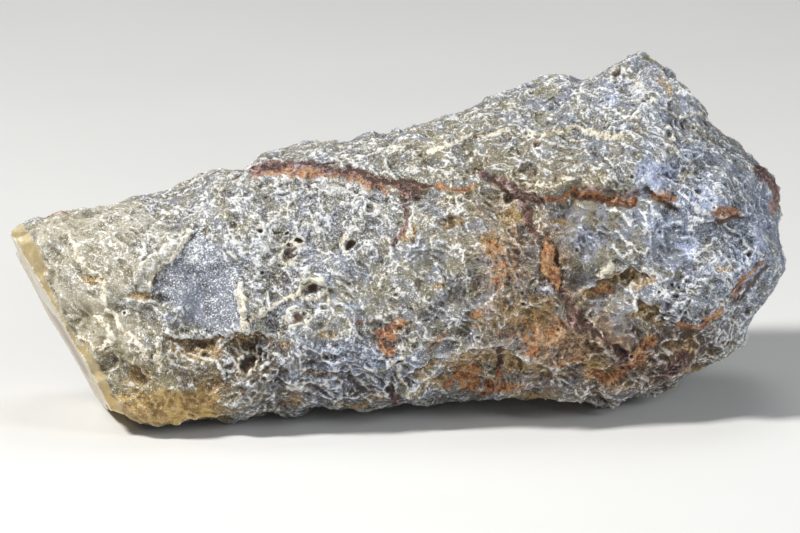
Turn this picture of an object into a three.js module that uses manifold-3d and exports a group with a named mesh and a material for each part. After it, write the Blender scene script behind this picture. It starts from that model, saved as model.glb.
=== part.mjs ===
// A rough picture agate: a club-shaped nodule of chalcedony in its pitted rind, sawn across the narrow end.
// Millimetres, +Z up. The origin is at the middle of the footprint, on the surface that the stone rests on.
import * as THREE from "three";
import { ImprovedNoise } from "three/addons/math/ImprovedNoise.js";
import { mergeVertices } from "three/addons/utils/BufferGeometryUtils.js";
import Module from "manifold-3d";

// The stone is drawn in its sight frame: "along" runs from the sawn end to the thick end, "up" leans back
// by SIGHT_TILT from the upright, and "depth" points away from someone who looks down on it at that tilt.
const SIGHT_TILT = THREE.MathUtils.degToRad(15);

// Outline above and below, [along, up], from the sawn end to the spur at the thick end.
const TOP_OUTLINE = [
  [-7, 38.4], [1, 40.5], [4.6, 41.2], [9.4, 42.6], [14.2, 43.6], [19, 43.6], [21.4, 44.8], [26.2, 46.6],
  [29.8, 47], [33.4, 48], [35.8, 49.4], [38.2, 51], [40.6, 51.6], [43, 51], [46.6, 51.4], [50.2, 55],
  [52.6, 54.6], [57.4, 57.4], [62.2, 57.2], [67, 56.8], [71.8, 58.6], [74.2, 58.2], [76.6, 59.8],
  [81.4, 60.4], [85, 61.8], [88.6, 62], [91, 63], [93.4, 65.4], [98.2, 67.4], [103, 68.6], [106.6, 70.2],
  [110.2, 70.2], [115, 69], [117.4, 70.6], [120.2, 71], [121.4, 73.4], [123.4, 74.6], [127, 74.4],
  [129.4, 72.4], [134.2, 68], [136.6, 67], [138.2, 64.2], [139, 61.2], [141.4, 58.6], [143.8, 57.6],
  [148.6, 53], [152.4, 49], [153.4, 46], [152.6, 39], [152.9, 36], [154, 33.6],
];
const BOTTOM_OUTLINE = [
  [11, 0.4], [17.4, 3], [21.4, 3.4], [23.8, 1.2], [28.6, 0.2], [33.4, 0.2], [35.8, 1], [37.4, 2.4],
  [39.4, 1.2], [42, 0.2], [45.4, 0.4], [47.8, 1.4], [51, 2.8], [54, 1.7], [57.4, 1.4], [62.2, 2.2],
  [67, 2.8], [74.2, 3.4], [77.8, 5.2], [81.4, 4], [83.8, 3.4], [88.6, 4], [93.4, 4.8], [98.2, 5.6],
  [103, 5.2], [107.8, 5], [112.6, 4.6], [117.4, 3.6], [119.8, 3.2], [122.2, 4], [124.6, 5.4],
  [129.4, 6], [131.8, 7.6], [134.2, 9.6], [137.8, 10.6], [140, 12.4], [144.6, 14.4], [146.2, 16.4],
  [146.6, 19.6], [148.6, 22.8], [151, 26.6], [153, 31], [154, 33.6],
];
// The outline's bumps stay near it. Half the span that is evened out for the rest of a section, as a share of
// the length, in how many steps, how far a bump and a dip reach, as shares of the section's half depth, and how
// far they stray.
const EVEN_SPAN = 0.055;
const EVEN_STEPS = 6;
const BUMP_REACH = 0.22;
const DIP_REACH = 0.3;
const BUMP_STRAY = 0.03;

// How far the stone reaches to the front and the back of its spine, and how the spine swings back, by share
// of the length: [share, front, back, spine].
const THICKNESS = [
  [0, 18, 21, -7], [0.2, 20, 25, -4], [0.45, 23.5, 29, 0.5], [0.65, 25.5, 32, 4.5], [0.8, 25, 31.5, 7],
  [0.88, 22, 27.5, 7.6], [0.94, 16.5, 19.5, 8], [0.98, 8.8, 9.8, 8], [1, 0, 0, 8],
];
// How square each quarter of a cross-section is: 2 is round.
const SQUARENESS = { frontTop: 2.1, frontBottom: 2.4, backBottom: 3.1, backTop: 2.2 };

// The saw cut: one point of it as [along, up], how far it leans from the upright, and how far it turns to the
// front.
const SAW_POINT = [10.4, 18.9];
const SAW_LEAN = THREE.MathUtils.degToRad(29.6);
const SAW_TURN = THREE.MathUtils.degToRad(4.7);
// Where the saw cut crosses the stone, as a share of its length.
const SAW_SHARE = 0.035;
// Scallops knocked off the sawn rim: angle round it from the front, over the top, radius, bite and slant to
// the cut.
const RIM_CHIPS = [
  { angle: 36, radius: 19, bite: 2.2, slant: 0.75 },
  { angle: 3, radius: 30, bite: 1.1, slant: 0.9 },
  { angle: -44, radius: 17, bite: 2.5, slant: 0.8 },
  { angle: 100, radius: 36, bite: 3, slant: 1.1 },
  { angle: 152, radius: 20, bite: 1.4, slant: 1.2 },
  { angle: 206, radius: 16, bite: 1.2, slant: 1.3 },
];

// The forms of one side, drawn as [along, up]. The rock above a ledge stands out as a lip, and below it is
// undercut. A rib with a negative height is a groove. A hollow has its centre, its radii and its depth.
const FRONT = {
  ledges: [
    { name: "iron seam", lip: 0.9, undercut: 1.2, reach: 3.4,
      path: [[47.6, 50.2], [55, 51.4], [63, 50.6], [70, 49], [77, 48], [83, 47.4], [91, 47.2], [95.6, 49],
        [101.8, 45.6], [106, 44.6], [113, 46.4], [121.2, 45.4], [125, 46.4]] },
    { name: "honey shelf", lip: 0.6, undercut: 1.8, reach: 3.6,
      path: [[30, 15.4], [35, 16.8], [39, 17.6], [45, 18.6], [49.8, 17.8]] },
    { name: "rusty arch", lip: 0.9, undercut: 2.4, reach: 4.6,
      path: [[79.6, 6.8], [83.4, 9.6], [87.6, 12], [92.6, 14], [97.2, 15.2], [103, 12.6], [109, 11.6],
        [116.6, 14.4]] },
    { name: "brown overhang", lip: 0.8, undercut: 2.2, reach: 3.8,
      path: [[113.6, 26.4], [116, 28.4], [119, 29.8], [123, 31.6], [126.2, 30.6]] },
    { name: "short step", lip: 0.5, undercut: 1.4, reach: 3.2,
      path: [[124, 24.6], [126.6, 23], [129.6, 21.4]] },
    { name: "lower step", lip: 0.6, undercut: 1.2, reach: 3.4,
      path: [[60, 11], [66, 10.6], [72, 10], [77, 13]] },
    { name: "foot of the knob", lip: 0.3, undercut: 1.2, reach: 3.4,
      path: [[121, 70.8], [125.6, 67.2], [130.4, 63.2], [133.5, 61.7], [138, 62.3]] },
  ],
  ribs: [
    { name: "white rib", height: 0.6, width: 2.2,
      path: [[10.4, 38.2], [13.2, 32.6], [17.8, 28], [18.4, 23.2], [21.2, 19.2], [26.4, 13.8]] },
    { name: "pale blade", height: 1.3, width: 2.4, path: [[33.4, 37], [29, 33], [25.4, 28]] },
    { name: "cream fin", height: 0.8, width: 2.2, path: [[45, 27.4], [45.6, 20.2]] },
    { name: "lace rib", height: 0.8, width: 2.2,
      path: [[45.6, 19.8], [48, 21.8], [52.6, 24.4], [58, 27.8], [60.8, 29], [63, 25]] },
    { name: "cream line", height: 0.6, width: 2.2,
      path: [[75, 56], [80.3, 54.8], [85.8, 55.4], [92.6, 57.8], [99.6, 58.4], [104.8, 57.8], [113, 59.6],
        [121, 57.4]] },
    { name: "white rib below", height: 0.7, width: 2.2,
      path: [[87, 19.4], [88, 21.6], [91, 23.7], [95.6, 25.2], [96.2, 26.8]] },
    { name: "rusty groove", height: -0.7, width: 2.2,
      path: [[101.8, 45], [102.4, 40.6], [105.4, 36.6], [109.4, 28], [112.6, 20.6]] },
    { name: "rib at the thick end", height: 0.7, width: 2.2, path: [[132.8, 20], [136.6, 19.6], [141, 23]] },
    { name: "groove at the thick end", height: -0.8, width: 2.2,
      path: [[149.6, 32.8], [145.8, 29.6], [144.2, 26.6]] },
  ],
  hollows: [
    { at: [38, 27], radii: [9, 7.5], depth: 1.3 },
    { at: [55, 34.2], radii: [3, 3.2], depth: 1.4 },
    { at: [66.4, 36.4], radii: [3, 3], depth: 0.9 },
    { at: [60, 26], radii: [3.4, 3.2], depth: 1.6 },
    { at: [46.6, 12.4], radii: [3.4, 4], depth: 1.3 },
    { at: [74.4, 17], radii: [4.6, 4], depth: 1.8 },
    { at: [16.6, 27.4], radii: [3.8, 3.6], depth: 1 },
    { at: [39.8, 7.6], radii: [3.4, 3], depth: 1.1 },
    { at: [90.6, 9], radii: [4.8, 3.2], depth: 1.5 },
    { at: [134, 14], radii: [5, 4.4], depth: 1.5 },
    { at: [98.6, 41.4], radii: [4, 3], depth: 1.1 },
    { at: [146, 40], radii: [5, 6], depth: 1.2 },
    { at: [84, 31], radii: [7, 4.6], depth: 1.1 },
    { at: [119, 37], radii: [5, 4], depth: 1.1 },
  ],
};
const BACK = {
  ledges: [
    { name: "long shelf", lip: 1.5, undercut: 1.7, reach: 5.5,
      path: [[30, 27], [46, 33], [64, 35], [80, 41], [100, 43], [118, 50]] },
    { name: "low shelf", lip: 1.1, undercut: 1.7, reach: 5,
      path: [[62, 17], [80, 15], [96, 20], [112, 18], [126, 25]] },
  ],
  ribs: [
    { name: "vein", height: 1, width: 2.2, path: [[38, 46], [52, 40], [60, 30], [75, 26], [88, 17]] },
    { name: "second vein", height: 1, width: 2, path: [[96, 62], [104, 52], [110, 38], [122, 31], [138, 35]] },
  ],
  hollows: [
    { at: [56, 23], radii: [8, 6], depth: 2 },
    { at: [92, 31], radii: [9, 6], depth: 2.3 },
    { at: [129, 44], radii: [7, 8], depth: 2 },
    { at: [28, 20], radii: [6, 7], depth: 1.5 },
    { at: [78, 52], radii: [8, 5], depth: 1.6 },
  ],
};
// Half the width of the step at a ledge.
const LEDGE_STEP = 2.2;

// Broad flats where old breaks run across the nodule: a point [along, depth, up], its normal, and the flat's
// reach.
const FLATS = [
  { at: [20, -20.7, 24], normal: [-0.3, -1, 0.05], reach: 17 },
  { at: [40, -21.4, 28], normal: [0.12, -1, -0.22], reach: 15 },
  { at: [78, -20.9, 36], normal: [-0.04, -1, 0.16], reach: 24 },
  { at: [88, -12.9, 54], normal: [-0.1, -0.72, 0.68], reach: 24 },
  { at: [116, -18.8, 36], normal: [0.1, -1, 0.02], reach: 20 },
  { at: [104, -12.4, 13], normal: [0.05, -0.78, -0.62], reach: 20 },
  { at: [145, -4, 48.5], normal: [0.66, -0.56, 0.5], reach: 16 },
  { at: [141, -3.5, 18.5], normal: [0.62, -0.54, -0.56], reach: 16 },
  { at: [34, 20.4, 40], normal: [-0.16, 0.72, 0.7], reach: 20 },
  { at: [60, 29.6, 30], normal: [-0.05, 1, 0.06], reach: 22 },
  { at: [98, 34.9, 40], normal: [-0.02, 1, 0.26], reach: 22 },
  { at: [98, 27.4, 58.5], normal: [-0.06, 0.68, 0.72], reach: 22 },
  { at: [132, 33.8, 34], normal: [0.42, 0.9, -0.05], reach: 20 },
  { at: [122, 24.9, 64.5], normal: [0.2, 0.5, 0.84], reach: 16 },
  { at: [76, 28.5, 14.5], normal: [0, 0.86, -0.5], reach: 18 },
];
// How much of what stands out of a flat goes, and how far out that starts gently.
const FLATNESS = 0.8;
const FLAT_EASE = 2;

// Lumps of the rind: wavelength and height. A knobbly one has creases instead of smooth dips.
const LUMPS = [
  { wavelength: 24, height: 2.6, knobbly: false },
  { wavelength: 11, height: 1.2, knobbly: true },
  { wavelength: 5.6, height: 0.6, knobbly: true },
];
// Scallops with crests between them: the size of one, its depth, and how far noise shifts it.
const SCALLOPS = [
  { size: 16, depth: 2, drift: 5 },
  { size: 8, depth: 1.1, drift: 2.5 },
];
const SCALLOP_JITTER = 0.8;
// The lumps fade out where a section turns to the outline, whose own bumps are given: over how wide a turn.
const OUTLINE_FADE = 0.28;
// How far inside the outline the rind is kept where noise is strongest, the size of that noise, the place
// [along, up] that counts as the middle of the thick end, and between which places the outline lets go of
// the tip.
const OUTLINE_ROOM = 2.6;
const ROOM_WAVELENGTH = 9;
const THICK_MIDDLE = [118, 36];
const TIP_SPAN = [148, 152];

// The lumps that the stone rests on, [along, depth, up], each with its radius and height.
const FEET = [
  { at: [87, 20, 8.4], radius: 9, height: 4.4 },
  { at: [117, 8, 3.8], radius: 8, height: 1.2 },
];
// How much is worn off the lowest lumps.
const FOOT_WEAR = 1.5;

// Rings along the stone, and points round a ring, which stand closer on the front.
const RINGS = 82;
const FRONT_POINTS = 32;
const BACK_POINTS = 22;
const STONE_COLOUR = 0x8f8f86;

const noise = new ImprovedNoise();
const smooth = (x) => THREE.MathUtils.smoothstep(x, 0, 1);

// The curve through the outline's points.
function outlineCurve(points) {
  const corners = points.map(([along, up]) => new THREE.Vector3(along, 0, up));
  return new THREE.CatmullRomCurve3(corners, false, "centripetal");
}

// A smooth function through THICKNESS, which gives [front, back, spine] at a share of the length.
function thicknessCurve() {
  const shares = THICKNESS.map((row) => row[0]);
  const values = THICKNESS.flatMap((row) => row.slice(1));
  const curve = new THREE.CubicInterpolant(shares, values, 3);
  return (share) => Array.from(curve.evaluate(share));
}

const topCurve = outlineCurve(TOP_OUTLINE);
const bottomCurve = outlineCurve(BOTTOM_OUTLINE);
const thicknessAt = thicknessCurve();

// A curve's point at a share of its length, averaged over its neighbourhood, and the bump that this evens out.
function evened(curve, share) {
  const span = Math.min(EVEN_SPAN, share, 1 - share);
  const point = new THREE.Vector3();
  for (let i = -EVEN_STEPS; i <= EVEN_STEPS; i++) {
    point.add(curve.getPointAt(THREE.MathUtils.clamp(share + (span * i) / EVEN_STEPS, 0, 1)));
  }
  point.divideScalar(2 * EVEN_STEPS + 1);
  return { point, bump: curve.getPointAt(share).sub(point) };
}

// What every point of one cross-section shares.
function sectionAt(share) {
  const [front, back, spine] = thicknessAt(share);
  const top = evened(topCurve, share).point;
  const bottom = evened(bottomCurve, share).point;
  return { share, top, bottom, front, back, spine };
}

// A point of a cross-section. The angle runs from the front over the top to the back.
function sectionPoint(section, angle) {
  const { top, bottom, front, back, spine } = section;
  const toFront = Math.cos(angle);
  const toTop = Math.sin(angle);
  const square = SQUARENESS[(toFront >= 0 ? "front" : "back") + (toTop >= 0 ? "Top" : "Bottom")];
  const reachOut = Math.abs(toFront) ** (2 / square);
  const reachUp = Math.sign(toTop) * Math.abs(toTop) ** (2 / square);
  const point = new THREE.Vector3().lerpVectors(bottom, top, 0.5 + 0.5 * reachUp);
  const depth = toFront >= 0 ? -front * reachOut : back * reachOut;
  // Below, the back follows the surface that the stone rests on, which climbs in the sight frame.
  if (depth > 0 && reachUp < 0) point.z += depth * Math.tan(SIGHT_TILT) * smooth(-reachUp * 1.5);
  point.y = spine + depth;
  // The bumps of the outline itself stray and fade away to the front and the back. Its dips reach further.
  const curve = toTop >= 0 ? topCurve : bottomCurve;
  const straying = BUMP_STRAY * smooth(reachOut / BUMP_REACH);
  const stray = straying * noise.noise(point.x / 13, point.y / 9, toTop >= 0 ? 0.5 : 8.5);
  const share = THREE.MathUtils.clamp(section.share + stray, 0, 1);
  const { bump } = evened(curve, share);
  const tangent = curve.getTangentAt(share);
  const outwards = (bump.z * tangent.x - bump.x * tangent.z) * (toTop >= 0 ? 1 : -1);
  const away = reachOut / (outwards < 0 ? DIP_REACH : BUMP_REACH);
  return point.addScaledVector(bump, Math.exp(-away * away));
}

// The angles round a ring, closer together on the front half.
function ringAngles() {
  const angles = [];
  for (let i = 0; i < FRONT_POINTS; i++) angles.push(-Math.PI / 2 + (Math.PI * i) / FRONT_POINTS);
  for (let i = 0; i < BACK_POINTS; i++) angles.push(Math.PI / 2 + (Math.PI * i) / BACK_POINTS);
  return angles;
}

// Where [along, up] lies beside a path: how far off, how far above it, the share of the path passed, and the
// nearest place on it.
function besidePath(path, along, up) {
  let best = { distance: Infinity };
  for (let i = 0; i + 1 < path.length; i++) {
    const [a0, u0] = path[i];
    const [a1, u1] = path[i + 1];
    const length = Math.hypot(a1 - a0, u1 - u0);
    const ahead = ((along - a0) * (a1 - a0) + (up - u0) * (u1 - u0)) / length;
    const above = ((a1 - a0) * (up - u0) - (u1 - u0) * (along - a0)) / length;
    const inside = THREE.MathUtils.clamp(ahead, 0, length);
    const distance = Math.hypot(above, ahead - inside);
    if (distance >= best.distance) continue;
    const passed = inside / length;
    const nearest = [THREE.MathUtils.lerp(a0, a1, passed), THREE.MathUtils.lerp(u0, u1, passed)];
    best = { distance, above, share: (i + passed) / (path.length - 1), nearest };
  }
  return best;
}

// How far one side's ledges, ribs and hollows move the surface outwards.
function sideRelief(side, along, up) {
  let out = 0;
  for (const ledge of side.ledges) {
    const { distance, above, share } = besidePath(ledge.path, along, up);
    const fade = Math.exp(-((distance / ledge.reach) ** 2)) * smooth(8 * share * (1 - share));
    const over = smooth(0.5 + above / (2 * LEDGE_STEP));
    out += fade * THREE.MathUtils.lerp(-ledge.undercut, ledge.lip, over);
  }
  for (const rib of side.ribs) {
    const { distance } = besidePath(rib.path, along, up);
    out += rib.height * Math.exp(-((distance / rib.width) ** 2));
  }
  for (const hollow of side.hollows) {
    const x = (along - hollow.at[0]) / hollow.radii[0];
    const y = (up - hollow.at[1]) / hollow.radii[1];
    out -= hollow.depth * Math.exp(-((x * x + y * y) ** 1.3));
  }
  return out;
}

// Brings a point that would show outside the outline back to it, or some way inside it where noise asks for
// room.
function keepInOutline(point) {
  const [x, y, z] = point.toArray().map((value) => value / ROOM_WAVELENGTH);
  const room = OUTLINE_ROOM * smooth(Math.abs(noise.noise(x, y, z + 3.3)) * 2 - 0.15);
  const outwards = new THREE.Vector2(Math.max(point.x - THICK_MIDDLE[0], 0), point.z - THICK_MIDDLE[1]);
  outwards.setLength(room);
  const along = point.x + outwards.x;
  const up = point.z + outwards.y;
  const top = besidePath(TOP_OUTLINE, along, up);
  const bottom = besidePath(BOTTOM_OUTLINE, along, up);
  const edge = top.above > 0 ? top.nearest : bottom.nearest;
  const kept = new THREE.Vector3(edge[0] - outwards.x, point.y, edge[1] - outwards.y);
  const grip = 1 - THREE.MathUtils.smoothstep(point.x, ...TIP_SPAN);
  if (top.above > 0 || bottom.above < 0) point.lerp(kept, grip);
}

// Three noise values at a point, as a vector.
function drift(point, wavelength) {
  const [x, y, z] = point.toArray().map((value) => value / wavelength);
  return new THREE.Vector3(noise.noise(x, y, z), noise.noise(y, z, x + 31.7), noise.noise(z, x + 17.3, y));
}

// A number from 0 to 1 that is fixed for whole numbers x, y, z and a salt.
function chance(x, y, z, salt) {
  let bits = Math.imul(x, 374761393) ^ Math.imul(y, 668265263);
  bits ^= Math.imul(z, 1442695041) ^ Math.imul(salt, 1274126177);
  bits = Math.imul(bits ^ (bits >>> 13), 1103515245);
  bits = Math.imul(bits ^ (bits >>> 16), 2246822519);
  return ((bits ^ (bits >>> 15)) >>> 0) / 2 ** 32;
}

// How deep in a scallop a point is: 0 on the crest between two, and 1 well inside one.
function scallopDepth(point, size) {
  const cell = point.clone().divideScalar(size);
  const base = cell.clone().floor();
  let nearest = Infinity;
  let second = Infinity;
  for (let i = 0; i < 27; i++) {
    const corner = new THREE.Vector3(i % 3, Math.floor(i / 3) % 3, Math.floor(i / 9)).subScalar(1).add(base);
    const place = corner.toArray();
    const shift = [1, 2, 3].map((salt) => 0.5 + SCALLOP_JITTER * (chance(...place, salt) - 0.5));
    const distance = corner.add(new THREE.Vector3(...shift)).distanceTo(cell);
    if (distance < nearest) [nearest, second] = [distance, nearest];
    else if (distance < second) second = distance;
  }
  return smooth(1.7 * (second - nearest));
}

// The rind's lumps and scallops at a point.
function lumps(point) {
  let out = 0;
  for (const scallop of SCALLOPS) {
    const moved = point.clone().addScaledVector(drift(point, 1.3 * scallop.size), scallop.drift);
    out += scallop.depth * (0.5 - scallopDepth(moved, scallop.size));
  }
  for (const { wavelength, height, knobbly } of LUMPS) {
    const value = noise.noise(point.x / wavelength + 7.3, point.y / wavelength + 2.9, point.z / wavelength + 4.1);
    out += height * (knobbly ? Math.abs(value) * 2 - 0.45 : value * 1.4);
  }
  return out;
}

// Pulls a point back to each broad flat that it stands out of.
function flatten(point) {
  for (const flat of FLATS) {
    const normal = new THREE.Vector3(...flat.normal).normalize();
    const offset = point.clone().sub(new THREE.Vector3(...flat.at));
    const outside = offset.dot(normal);
    if (outside <= 0) continue;
    const aside = offset.addScaledVector(normal, -outside).length();
    const eased = (outside * outside) / (outside + FLAT_EASE);
    point.addScaledVector(normal, -eased * FLATNESS * smooth((flat.reach * 1.4 - aside) / (flat.reach * 0.6)));
  }
  return point;
}

// The nodule before it was sawn, in the sight frame, with neither its lumps nor its ledges.
function plainNodule() {
  const angles = ringAngles();
  const around = angles.length;
  const start = sectionAt(0);
  const points = [start.top.clone().lerp(start.bottom, 0.5).setY(start.spine)];
  for (let ring = 0; ring < RINGS; ring++) {
    const section = sectionAt(ring / RINGS);
    for (const angle of angles) points.push(flatten(sectionPoint(section, angle)));
  }
  const tip = points.push(sectionPoint(sectionAt(1), 0)) - 1;

  const faces = [];
  for (let i = 0; i < around; i++) {
    const next = (i + 1) % around;
    faces.push(0, 1 + i, 1 + next);
    for (let ring = 0; ring + 1 < RINGS; ring++) {
      const here = 1 + ring * around;
      const beyond = here + around;
      faces.push(here + i, beyond + next, here + next, here + i, beyond + i, beyond + next);
    }
    const last = 1 + (RINGS - 1) * around;
    faces.push(last + i, tip, last + next);
  }
  const geometry = new THREE.BufferGeometry().setFromPoints(points);
  geometry.setIndex(faces);
  geometry.computeVertexNormals();
  return geometry;
}

// The nodule with its lumps, ledges, ribs and hollows.
function noduleGeometry() {
  const geometry = plainNodule();
  const positions = geometry.attributes.position;
  for (let i = 0; i < positions.count; i++) {
    const point = new THREE.Vector3().fromBufferAttribute(positions, i);
    const normal = new THREE.Vector3().fromBufferAttribute(geometry.attributes.normal, i);
    const offOutline = smooth(Math.abs(normal.y) / OUTLINE_FADE);
    let out = offOutline * lumps(point);
    out += smooth(-normal.y * 2.2 - 0.1) * sideRelief(FRONT, point.x, point.z);
    out += smooth(normal.y * 2.2 - 0.1) * sideRelief(BACK, point.x, point.z);
    for (const foot of FEET) {
      out += foot.height * Math.exp(-((point.distanceTo(new THREE.Vector3(...foot.at)) / foot.radius) ** 2));
    }
    point.addScaledVector(normal, out);
    keepInOutline(point);
    positions.setXYZ(i, point.x, point.y, point.z);
  }
  return geometry;
}

const wasm = await Module();
wasm.setup();

// A closed geometry as a solid that can be cut.
function solidOf(geometry) {
  const bare = geometry.clone();
  bare.deleteAttribute("normal");
  bare.deleteAttribute("uv");
  const merged = mergeVertices(bare, 1e-4);
  const vertProperties = merged.attributes.position.array;
  const triVerts = new Uint32Array(merged.index.array);
  return new wasm.Manifold(new wasm.Mesh({ numProp: 3, vertProperties, triVerts }));
}

// A cut solid as a geometry again.
function geometryOf(solid) {
  const mesh = solid.getMesh();
  const geometry = new THREE.BufferGeometry();
  geometry.setAttribute("position", new THREE.BufferAttribute(mesh.vertProperties, 3));
  geometry.setIndex(new THREE.BufferAttribute(mesh.triVerts, 1));
  return geometry;
}

// The outward normal of the saw cut, in the sight frame.
function sawNormal() {
  const lean = new THREE.Vector3(-Math.cos(SAW_LEAN), 0, -Math.sin(SAW_LEAN));
  return lean.multiplyScalar(Math.cos(SAW_TURN)).add(new THREE.Vector3(0, -Math.sin(SAW_TURN), 0));
}

// A block whose face lies on a plane and which fills the space outside it.
function blockBeyond(point, normal) {
  const size = 500;
  const block = new THREE.BoxGeometry(size, size, size);
  block.translate(size / 2, 0, 0);
  block.applyQuaternion(new THREE.Quaternion().setFromUnitVectors(new THREE.Vector3(1, 0, 0), normal));
  block.translate(point.x, point.y, point.z);
  return solidOf(block);
}

// A ball that bites a scallop out of the sawn rim.
function rimChip({ angle, radius, bite, slant }) {
  const turn = THREE.MathUtils.degToRad(angle);
  const section = sectionAt(SAW_SHARE);
  const rim = sectionPoint(section, turn);
  const outwards = rim.clone().sub(sectionPoint(section, turn + Math.PI)).normalize();
  const towards = outwards.addScaledVector(sawNormal(), slant).normalize();
  const ball = new THREE.IcosahedronGeometry(radius, 7);
  const centre = rim.addScaledVector(towards, radius - bite);
  ball.translate(centre.x, centre.y, centre.z);
  return solidOf(ball);
}

// The sawn and chipped stone, set upright on the surface that it rests on.
function stoneGeometry() {
  let stone = solidOf(noduleGeometry());
  const sawPoint = new THREE.Vector3(SAW_POINT[0], thicknessAt(0)[2], SAW_POINT[1]);
  stone = stone.subtract(blockBeyond(sawPoint, sawNormal()));
  for (const chip of RIM_CHIPS) stone = stone.subtract(rimChip(chip));

  const upright = geometryOf(stone);
  upright.rotateX(-SIGHT_TILT);
  upright.computeBoundingBox();
  upright.translate(0, 0, -upright.boundingBox.min.z - FOOT_WEAR);
  const below = blockBeyond(new THREE.Vector3(0, 0, 0), new THREE.Vector3(0, 0, -1));
  const resting = geometryOf(solidOf(upright).subtract(below));
  resting.computeBoundingBox();
  const centre = resting.boundingBox.getCenter(new THREE.Vector3());
  resting.translate(-centre.x, -centre.y, 0);
  return resting;
}

const agate = new THREE.Mesh(
  stoneGeometry(),
  new THREE.MeshStandardMaterial({ color: STONE_COLOUR, roughness: 0.55, metalness: 0 }),
);
agate.name = "agate_stone";

const group = new THREE.Group();
group.add(agate);
export default group;
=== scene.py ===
# A rough picture agate: its pitted, iron-stained rind, its sawn end, and the light and camera to see it by.
# Lengths are in millimetres until a mesh, light or camera is made, which Blender keeps in metres.
import math

import bpy
import numpy as np
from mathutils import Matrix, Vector
from mathutils.kdtree import KDTree


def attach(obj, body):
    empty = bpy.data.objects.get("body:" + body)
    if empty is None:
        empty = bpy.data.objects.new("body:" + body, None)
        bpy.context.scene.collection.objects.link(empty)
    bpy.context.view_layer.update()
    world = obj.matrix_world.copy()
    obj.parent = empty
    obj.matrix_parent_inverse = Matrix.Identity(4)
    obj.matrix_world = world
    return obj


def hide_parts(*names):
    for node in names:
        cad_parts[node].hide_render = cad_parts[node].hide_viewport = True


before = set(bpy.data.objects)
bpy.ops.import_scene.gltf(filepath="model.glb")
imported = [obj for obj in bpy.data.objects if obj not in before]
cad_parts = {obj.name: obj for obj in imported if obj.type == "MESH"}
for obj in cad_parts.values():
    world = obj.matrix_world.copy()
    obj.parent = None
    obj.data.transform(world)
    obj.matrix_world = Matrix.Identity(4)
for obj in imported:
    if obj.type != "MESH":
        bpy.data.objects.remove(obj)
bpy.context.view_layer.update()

MM = 0.001
STONE = "agate_stone"

# The photograph: its size in pixels, how far the camera looks down, and the stone's outline in it.
PHOTO_SIZE = (800, 533)
LOOK_DOWN = math.radians(15)
OUTLINE_LEFT = 14
OUTLINE_RIGHT = 786
OUTLINE_LOW = 424
PIXEL = 0.2
EYE_DISTANCE = 2000

# The skin that the relief is carved in: how fine it is, how often its facets are smoothed,
# and how many meshes it fills.
VOXEL = 0.34
SMOOTHING = 14
STRETCHES = 5

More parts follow.
